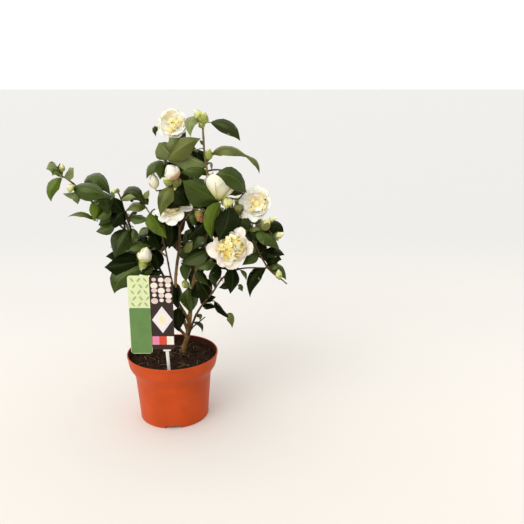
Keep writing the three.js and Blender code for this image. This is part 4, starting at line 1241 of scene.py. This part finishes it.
# The profile runs from the middle of the foot up the outside, over the rim, down the inside and across the
# floor. Where a slot is, the foot is lifted to the slot's height.
def makePot():
    height, wall, foot = pot["height"], pot["wall"], pot["footRadius"]
    lip = pot["topRadius"] - pot["lip"]
    outer = [(pot["slotInner"], 0.02, 0.3), (foot - pot["rounding"], 0.02, 1.6), (foot, 0.02, 1.6),
             (foot, pot["rounding"] + 2, 1.6), (pot["bodyTopRadius"], pot["bodyTop"], 9),
             (pot["bandRadius"], pot["bandFoot"], 5), (pot["topRadius"] - 0.8, height - 5, 1.2),
             (pot["topRadius"], height - 4.2, 0.5), (pot["topRadius"], height, 1.2), (lip, height, 1.2)]
    inner = [(lip - 0.6, height - 5, 1.6), (pot["bandRadius"] - wall, pot["bandFoot"] + 1, 1.6),
             (pot["bodyTopRadius"] - wall, pot["bodyTop"], 1.6), (foot - wall, pot["floor"] + 3, 1.6),
             (foot - wall - 4, pot["floor"], 1.6), (0.5, pot["floor"], 0)]
    profile = rounded([(0.5, 0, 0), (pot["slotInner"] - 0.4, 0, 0.3)] + outer + inner)
    # columns stand close together at the sides of each slot
    edge = pot["slotEdge"]
    halfSlot = math.degrees(math.asin(pot["slotWide"] / 2 / foot))
    centres = [pot["firstSlot"] + k * 360 / pot["slots"] for k in range(pot["slots"])]
    turn = list(np.linspace(0, 360, pot["sides"], endpoint=False))
    turn += [c + side * (halfSlot + step) for c in centres for side in (-1, 1) for step in (-edge, edge)]
    turn = np.sort(np.mod(turn, 360))
    away = np.abs((turn[:, None] - np.array(centres)[None] + 180) % 360 - 180).min(1)
    slotted = np.clip((halfSlot + edge - away) / (2 * edge), 0, 1)
    low = (np.arange(len(profile)) < len(profile) // 2) & (profile[:, 0] > pot["slotInner"] - 0.3)
    lift = profile[:, 1:] * np.ones(len(turn))
    lift = np.where(low[:, None], np.maximum(lift, pot["slotHigh"] * slotted[None]), lift)
    lift = lift + pot["sway"] * np.sin(np.radians(turn) * 3)[None] * (profile[:, 1:] > 100)
    angle = np.radians(turn)[None]
    rings = np.stack([profile[:, :1] * np.cos(angle), profile[:, :1] * np.sin(angle), lift], -1)
    clay = finish("pot_clay", (0.52, 0.068, 0.013), 0.88, 1.12, 18, (0.38, 0.52), 0.10, 700, 0.0003,
                  Specular_IOR_Level=0.16, Specular_Tint=(1, 0.6, 0.4, 1))
    # The inside of the wall is darker: partly soil stain, partly painted shade where the wall lies in its own
    # shadow
    stain_and_shade = finish("pot_inside", (0.045, 0.012, 0.004), 0.6, 1.3, 40, (0.6, 0.8), 0.3, 700, 0.0004,
                     Specular_IOR_Level=0.15)
    inside = np.arange(len(profile) - 1) >= len(profile) - 6 * (len(inner) - 1) - 2
    makePiece("pot_shell", [capped(rings, inside * 1, 0)], [clay, stain_and_shade], ["pot"], 40)


makePot()

# The compost: a gently uneven disc heaped a little round the stem, strewn with crumbs and pale fibres
compost = {"level": 116, "radius": 79.2, "depth": 12, "rings": 44, "sides": 120, "crumbs": 420,
           "crumb": (1.0, 3.6), "fibres": 46, "fibre": (7, 20), "stem": (20, 22), "heap": 2.0,
           "heapReach": 16, "sunk": 1.6, "waves": ((30, 1.5), (13, 0.9), (6, 0.6), (3.1, 0.35)), "calm": 0.62}


# Rings of ground from the middle out to the pot's wall, closed below, with crumbs and arched fibres on it
def makeCompost():
    rng = np.random.default_rng(77)
    starts = rng.uniform(0, roundTurn, (len(compost["waves"]), 3))

    # Crossed waves of a few sizes, and a small heap at the stem
    def ground(x, y):
        high = 0
        for (size, scale), (a, b, c) in zip(compost["waves"], starts):
            bent = x / size + a + 1.3 * np.sin(y / size + b)
            high = high + scale * np.sin(bent) * np.cos(y / size * 1.1 + c)
        near = np.hypot(x - compost["stem"][0], y - compost["stem"][1])
        heap = compost["heap"] * np.exp(-near / compost["heapReach"])
        return compost["level"] - compost["sunk"] + high * compost["calm"] + heap

    reach = np.linspace(1.5, compost["radius"], compost["rings"])[:, None]
    turn = np.linspace(0, 2 * math.pi, compost["sides"], endpoint=False)[None]
    x, y = reach * np.cos(turn), reach * np.sin(turn)
    top = np.stack([x, y, ground(x, y)], -1)
    below = top[-1:].copy()
    below[..., 2] = compost["level"] - compost["depth"]
    shapes = [capped(np.concatenate([top, below]))]
    for k in range(compost["crumbs"]):  # uneven lumps of three rings
        r, a = compost["radius"] * 0.97 * math.sqrt(rng.uniform()), rng.uniform(0, roundTurn)
        size = rng.uniform(*compost["crumb"]) * rng.uniform(0.4, 1)
        polar = np.array([0.6, 1.5, 2.5])[:, None]
        spin = np.linspace(0, 2 * math.pi, 6, endpoint=False)[None]
        lump = [np.sin(polar) * np.cos(spin), np.sin(polar) * np.sin(spin), np.cos(polar) + 0 * spin]
        lump = np.stack(lump, -1) * size * rng.uniform(0.65, 1.3, (3, 6, 1)) * rng.uniform(0.6, 1.2, 3)
        px, py = r * math.cos(a), r * math.sin(a)
        rest = np.array([px, py, ground(px, py) + size * 0.25])
        shapes.append(capped(lump + rest, rng.choice([0, 0, 1, 2])))
    for k in range(compost["fibres"]):
        r, a = compost["radius"] * 0.9 * math.sqrt(rng.uniform()), rng.uniform(0, roundTurn)
        lie = rng.uniform(0, roundTurn)
        s = np.linspace(-1, 1, 6)
        long = rng.uniform(*compost["fibre"]) / 2 * s
        fx = r * math.cos(a) + long * math.cos(lie) + rng.uniform(-2, 2) * s ** 2
        fy = r * math.sin(a) + long * math.sin(lie) + rng.uniform(-2, 2) * s ** 2
        fz = ground(fx, fy) + 0.9 + 1.2 * (1 - s ** 2) * rng.uniform(0, 1)
        if np.hypot(fx, fy).max() < compost["radius"]:
            shapes.append(woodTube(np.stack([fx, fy, fz], -1), np.full(6, rng.uniform(0.22, 0.5)), 5, 3))
    dull = {"Specular_IOR_Level": 0.1}
    finishes = [
        finish("peat", (0.022, 0.009, 0.0022), 0.5, 1.5, 160, (0.75, 0.95), 0.9, 900, 0.0015, **dull),
        finish("peat_brown", (0.040, 0.017, 0.005), 0.6, 1.4, 200, (0.75, 0.95), 0.8, 900, 0.001, **dull),
        finish("peat_bark", (0.066, 0.029, 0.010), 0.6, 1.3, 200, (0.7, 0.9), 0.8, 900, 0.001, **dull),
        finish("peat_fibre", (0.20, 0.13, 0.07), 0.6, 1.3, 200, (0.6, 0.8), 0.3),
    ]
    makePiece("compost_fill", shapes, finishes, ["compost"], 70)


makeCompost()
print("pot and compost")

# The plant label: two printed card panels on a flat white stake. The print is plain shapes in flat inks.
label = {"left": -64, "right": 14, "split": -26, "top": 296, "foot": 151, "splitFoot": 159, "front": -65.8,
         "thick": 0.8, "corner": 5, "ink": 0.12, "edge": 0.8, "fieldTop": 237, "rows": 5, "columns": 3,
         "band": (168, 184), "bandInks": ("ink_pink", "ink_red", "ink_cream"), "lozengesAt": (20, 215),
         "lozenges": ((18, 25, "ink_pale_lilac"), (12.5, 17.5, "ink_cream"), (6, 8.5, "ink_straw"))}
dashes = {"first": (8, 243.5), "apart": (11.5, 11.2), "shift": 3, "long": 4.6, "slim": 1.7, "slant": 0.9}
dots = {"first": (8, 291), "apart": (12.2, 9.4), "size": 4.2, "grow": 1.3}
labelInks = {  # the cards' own colours and the inks, each with how uneven it is
    "card_pale_green": ((0.70, 0.76, 0.44), 0.05),
    "ink_green": ((0.13, 0.24, 0.075), 0.08),
    "ink_leaf": ((0.36, 0.46, 0.16), 0.08),
    "card_brown": ((0.040, 0.024, 0.020), 0.1),
    "ink_cream": ((0.84, 0.76, 0.66), 0.05),
    "ink_pink": ((0.78, 0.24, 0.38), 0.08),
    "ink_red": ((0.66, 0.075, 0.035), 0.08),
    "ink_blush": ((0.72, 0.56, 0.52), 0.08),
    "ink_pale_lilac": ((0.78, 0.74, 0.80), 0.05),
    "ink_straw": ((0.82, 0.76, 0.46), 0.05),
}


# A flat outline in the card's plane made a thin closed slab, with its middle as the hub of both faces
def slab(outline, front, thick, ink):
    outline = np.array(outline, float)
    count = len(outline)
    flat = np.concatenate([outline, [outline.mean(0)]])
    near = np.stack([flat[:, 0], np.full(count + 1, front), flat[:, 1]], -1)
    ring = np.append(np.arange(count), 0)
    rim = quads(np.stack([ring, ring + count + 1]))
    faces = [fan(ring, count), fan(ring[::-1] + count + 1, 2 * count + 1), rim]
    return shape(np.concatenate([near, near + [0, thick, 0]]), np.concatenate(faces), ink)


# A box with quarter-circle corners
def roundedBox(x0, x1, z0, z1, corner, steps=6):
    quarter = np.linspace(0, math.pi / 2, steps)
    centres = ((x1 - corner, z1 - corner), (x0 + corner, z1 - corner), (x0 + corner, z0 + corner),
               (x1 - corner, z0 + corner))
    arcs = []
    for k, (cx, cz) in enumerate(centres):
        turn = quarter + k * math.pi / 2
        arcs.append(np.stack([cx + corner * np.cos(turn), cz + corner * np.sin(turn)], -1))
    return np.concatenate(arcs)


# An ellipse turned by an angle, or with four steps a lozenge
def oval(cx, cz, a, b, turn=0, steps=28):
    s = np.linspace(0, 2 * math.pi, steps, endpoint=False)
    x, z = a * np.cos(s), b * np.sin(s)
    return np.stack([cx + x * math.cos(turn) - z * math.sin(turn),
                     cz + x * math.sin(turn) + z * math.cos(turn)], -1)


# Two cards with rounded corners. The left one has a green field and rows of dashes that slant by turns, and
# the right one rows of dots in three sizes, lozenges one on another and a band of three colours.
def makeLabel():
    front, thin, edge, top = label["front"], label["ink"], label["edge"], label["top"]
    left, split, right = label["left"], label["split"], label["right"]
    names = list(labelInks)
    cards = ((left, split + 0.2, label["foot"], "card_pale_green"),
             (split - 0.2, right, label["splitFoot"], "card_brown"))
    shapes = [slab(roundedBox(x0, x1, foot, top, label["corner"]), front, label["thick"], names.index(kind))
              for x0, x1, foot, kind in cards]

    # One more shape in ink, in front of the card by so many layers
    def lay(outline, kind, layers=1):
        shapes.append(slab(outline, front - layers * thin, thin, names.index(kind)))

    lay(roundedBox(left + edge, split - 0.4, label["foot"] + edge, label["fieldTop"], 2.5), "ink_green")
    for row, column in np.ndindex(label["rows"], label["columns"]):
        cx = left + dashes["first"][0] + column * dashes["apart"][0] + (row % 2) * dashes["shift"]
        cz = dashes["first"][1] + row * dashes["apart"][1]
        slant = dashes["slant"] if (row + column) % 2 else -dashes["slant"]
        lay(oval(cx, cz, dashes["long"], dashes["slim"], slant), "ink_leaf")
    for row, column in np.ndindex(label["rows"], label["columns"]):
        size = dots["size"] + dots["grow"] * ((row * 2 + column) % 3)
        cx = split + dots["first"][0] + column * dots["apart"][0]
        cz = dots["first"][1] - size / 2 - row * dots["apart"][1]
        lay(oval(cx, cz, size * 0.9, size * 0.78), "ink_cream" if (row + column) % 2 else "ink_blush")
    wide = right - split - 2 * edge
    for k, kind in enumerate(label["bandInks"]):
        a = split + edge + k * wide / 3
        lay(roundedBox(a, a + wide / 3 - 0.3, *label["band"], 0.6), kind)
    cx, cz = label["lozengesAt"]
    for k, (half, tall, kind) in enumerate(label["lozenges"]):
        lay(oval(split + cx, cz, half, tall, 0, 4), kind, k + 1)
    finishes = [finish(name, colour, 1 - uneven, 1 + uneven, 60, (0.3, 0.42), 0.03, Specular_IOR_Level=0.15)
                for name, (colour, uneven) in labelInks.items()]
    makePiece("label_panels", shapes, finishes, ["label_card"], 40)


stake = {"x": -0.4, "width": 6, "thick": 1.2, "foot": 62, "top": 225, "shoulder": 158.7, "shoulderWidth": 15,
         "shoulderHeight": 3.2, "y": -64.1, "ridge": 0.35, "lean": 3}


# The stake: one row of section points per height, its half width read from a few named heights. It leans
# sideways about its shoulder, which comes forward under the card.
def makeStake():
    shoulder, high, width = stake["shoulder"], stake["shoulderHeight"], stake["width"] / 2
    broad = stake["shoulderWidth"] / 2
    heights = np.array([stake["foot"], stake["foot"] + 10, shoulder - high - 6, shoulder - high - 0.1,
                        shoulder - high, shoulder - 1.2, shoulder - 0.3, shoulder, stake["top"]])
    halves = np.array([0.8, width * 0.85, width, width, broad * 0.9, broad, broad * 0.8, width, width])
    ahead = np.array([0, 0, 0, 0, 1, 1, 1, 0, 0]) * label["thick"] * 1.2
    section = np.array([(-1, 0.35), (-0.85, -0.5), (-0.35, -0.5), (-0.25, -0.5 - stake["ridge"]),
                        (0.25, -0.5 - stake["ridge"]), (0.35, -0.5), (0.85, -0.5), (1, 0.35), (0.8, 0.5),
                        (-0.8, 0.5)])
    across = halves[:, None] * section[None, :, 0]
    depth = stake["y"] + stake["thick"] * section[None, :, 1] - ahead[:, None] * (section[None, :, 1] < 0)
    lean = math.radians(stake["lean"])
    rise = heights[:, None] - shoulder
    rings = np.stack([stake["x"] + across * math.cos(lean) - rise * math.sin(lean), depth,
                      shoulder + across * math.sin(lean) + rise * math.cos(lean)], -1)
    white = finish("stake_white", (0.80, 0.77, 0.72), 0.95, 1.04, 60, (0.35, 0.5), 0.05)
    makePiece("label_stake_blade", [capped(rings)], [white], ["label_stake"], 30)


makeLabel()
makeStake()
print("label")

stage = {"half": 60.0, "floor": (0.70, 0.672, 0.625), "far": (0.60, 0.597, 0.587), "sky": (1.0, 0.985, 0.965),
         "bright": (-0.35, 0.25, 0.90), "dim": 0.24, "full": 1.55, "back": 1.1, "sun": 1.25, "sunSize": 50,
         "sunTurn": (42, -34, 0)}


# A wide pale floor, cooler far off. The sky is brightest above and darker at the sides and in front, a white
# wall of light closes the view behind, and a soft sun shines from the front left.
def makeStage():
    mesh = bpy.data.meshes.new("floor")
    h = stage["half"]
    mesh.from_pydata([(-h, -h, 0), (h, -h, 0), (h, h, 0), (-h, h, 0)], [], [(0, 1, 2, 3)])
    floor = bpy.data.objects.new("floor", mesh)
    paper = finish("floor_paper", stage["floor"], 0.99, 1.01, 2, (0.8, 0.9), 0.02)
    split = addNode(paper, "SeparateXYZ")
    place = paper.node_tree.nodes["Texture Coordinate"]
    paper.node_tree.links.new(place.outputs["Object"], split.inputs[0])
    overlay(paper, fade(paper, split.outputs["Y"], 0, 1.5, 0, 1), stage["far"])
    mesh.materials.append(paper)
    bpy.context.scene.collection.objects.link(floor)
    world = bpy.data.worlds.new("studio")
    world.use_nodes = True
    link = world.node_tree.links.new
    place = addNode(world, "TexCoord")
    dot = addNode(world, "VectorMath")
    dot.operation = "DOT_PRODUCT"
    dot.inputs[1].default_value = stage["bright"]
    link(place.outputs["Generated"], dot.inputs[0])
    shade = world.node_tree.nodes["Background"]
    shade.inputs["Color"].default_value = (*stage["sky"], 1)
    split = addNode(world, "SeparateXYZ")
    link(place.outputs["Generated"], split.inputs[0])
    wall = fade(world, split.outputs["Y"], 0.82, 0.9, 0, stage["back"])
    above = fade(world, dot.outputs["Value"], -0.4, 1, stage["dim"], stage["full"])
    link(sums(world, "MAXIMUM", wall, above), shade.inputs["Strength"])
    bpy.context.scene.world = world
    sun = bpy.data.objects.new("sun", bpy.data.lights.new("sun", "SUN"))
    sun.data.energy = stage["sun"]
    sun.data.angle = math.radians(stage["sunSize"])
    sun.rotation_euler = [math.radians(a) for a in stage["sunTurn"]]
    bpy.context.scene.collection.objects.link(sun)
    bpy.context.scene.view_settings.view_transform = "Standard"


makeStage()
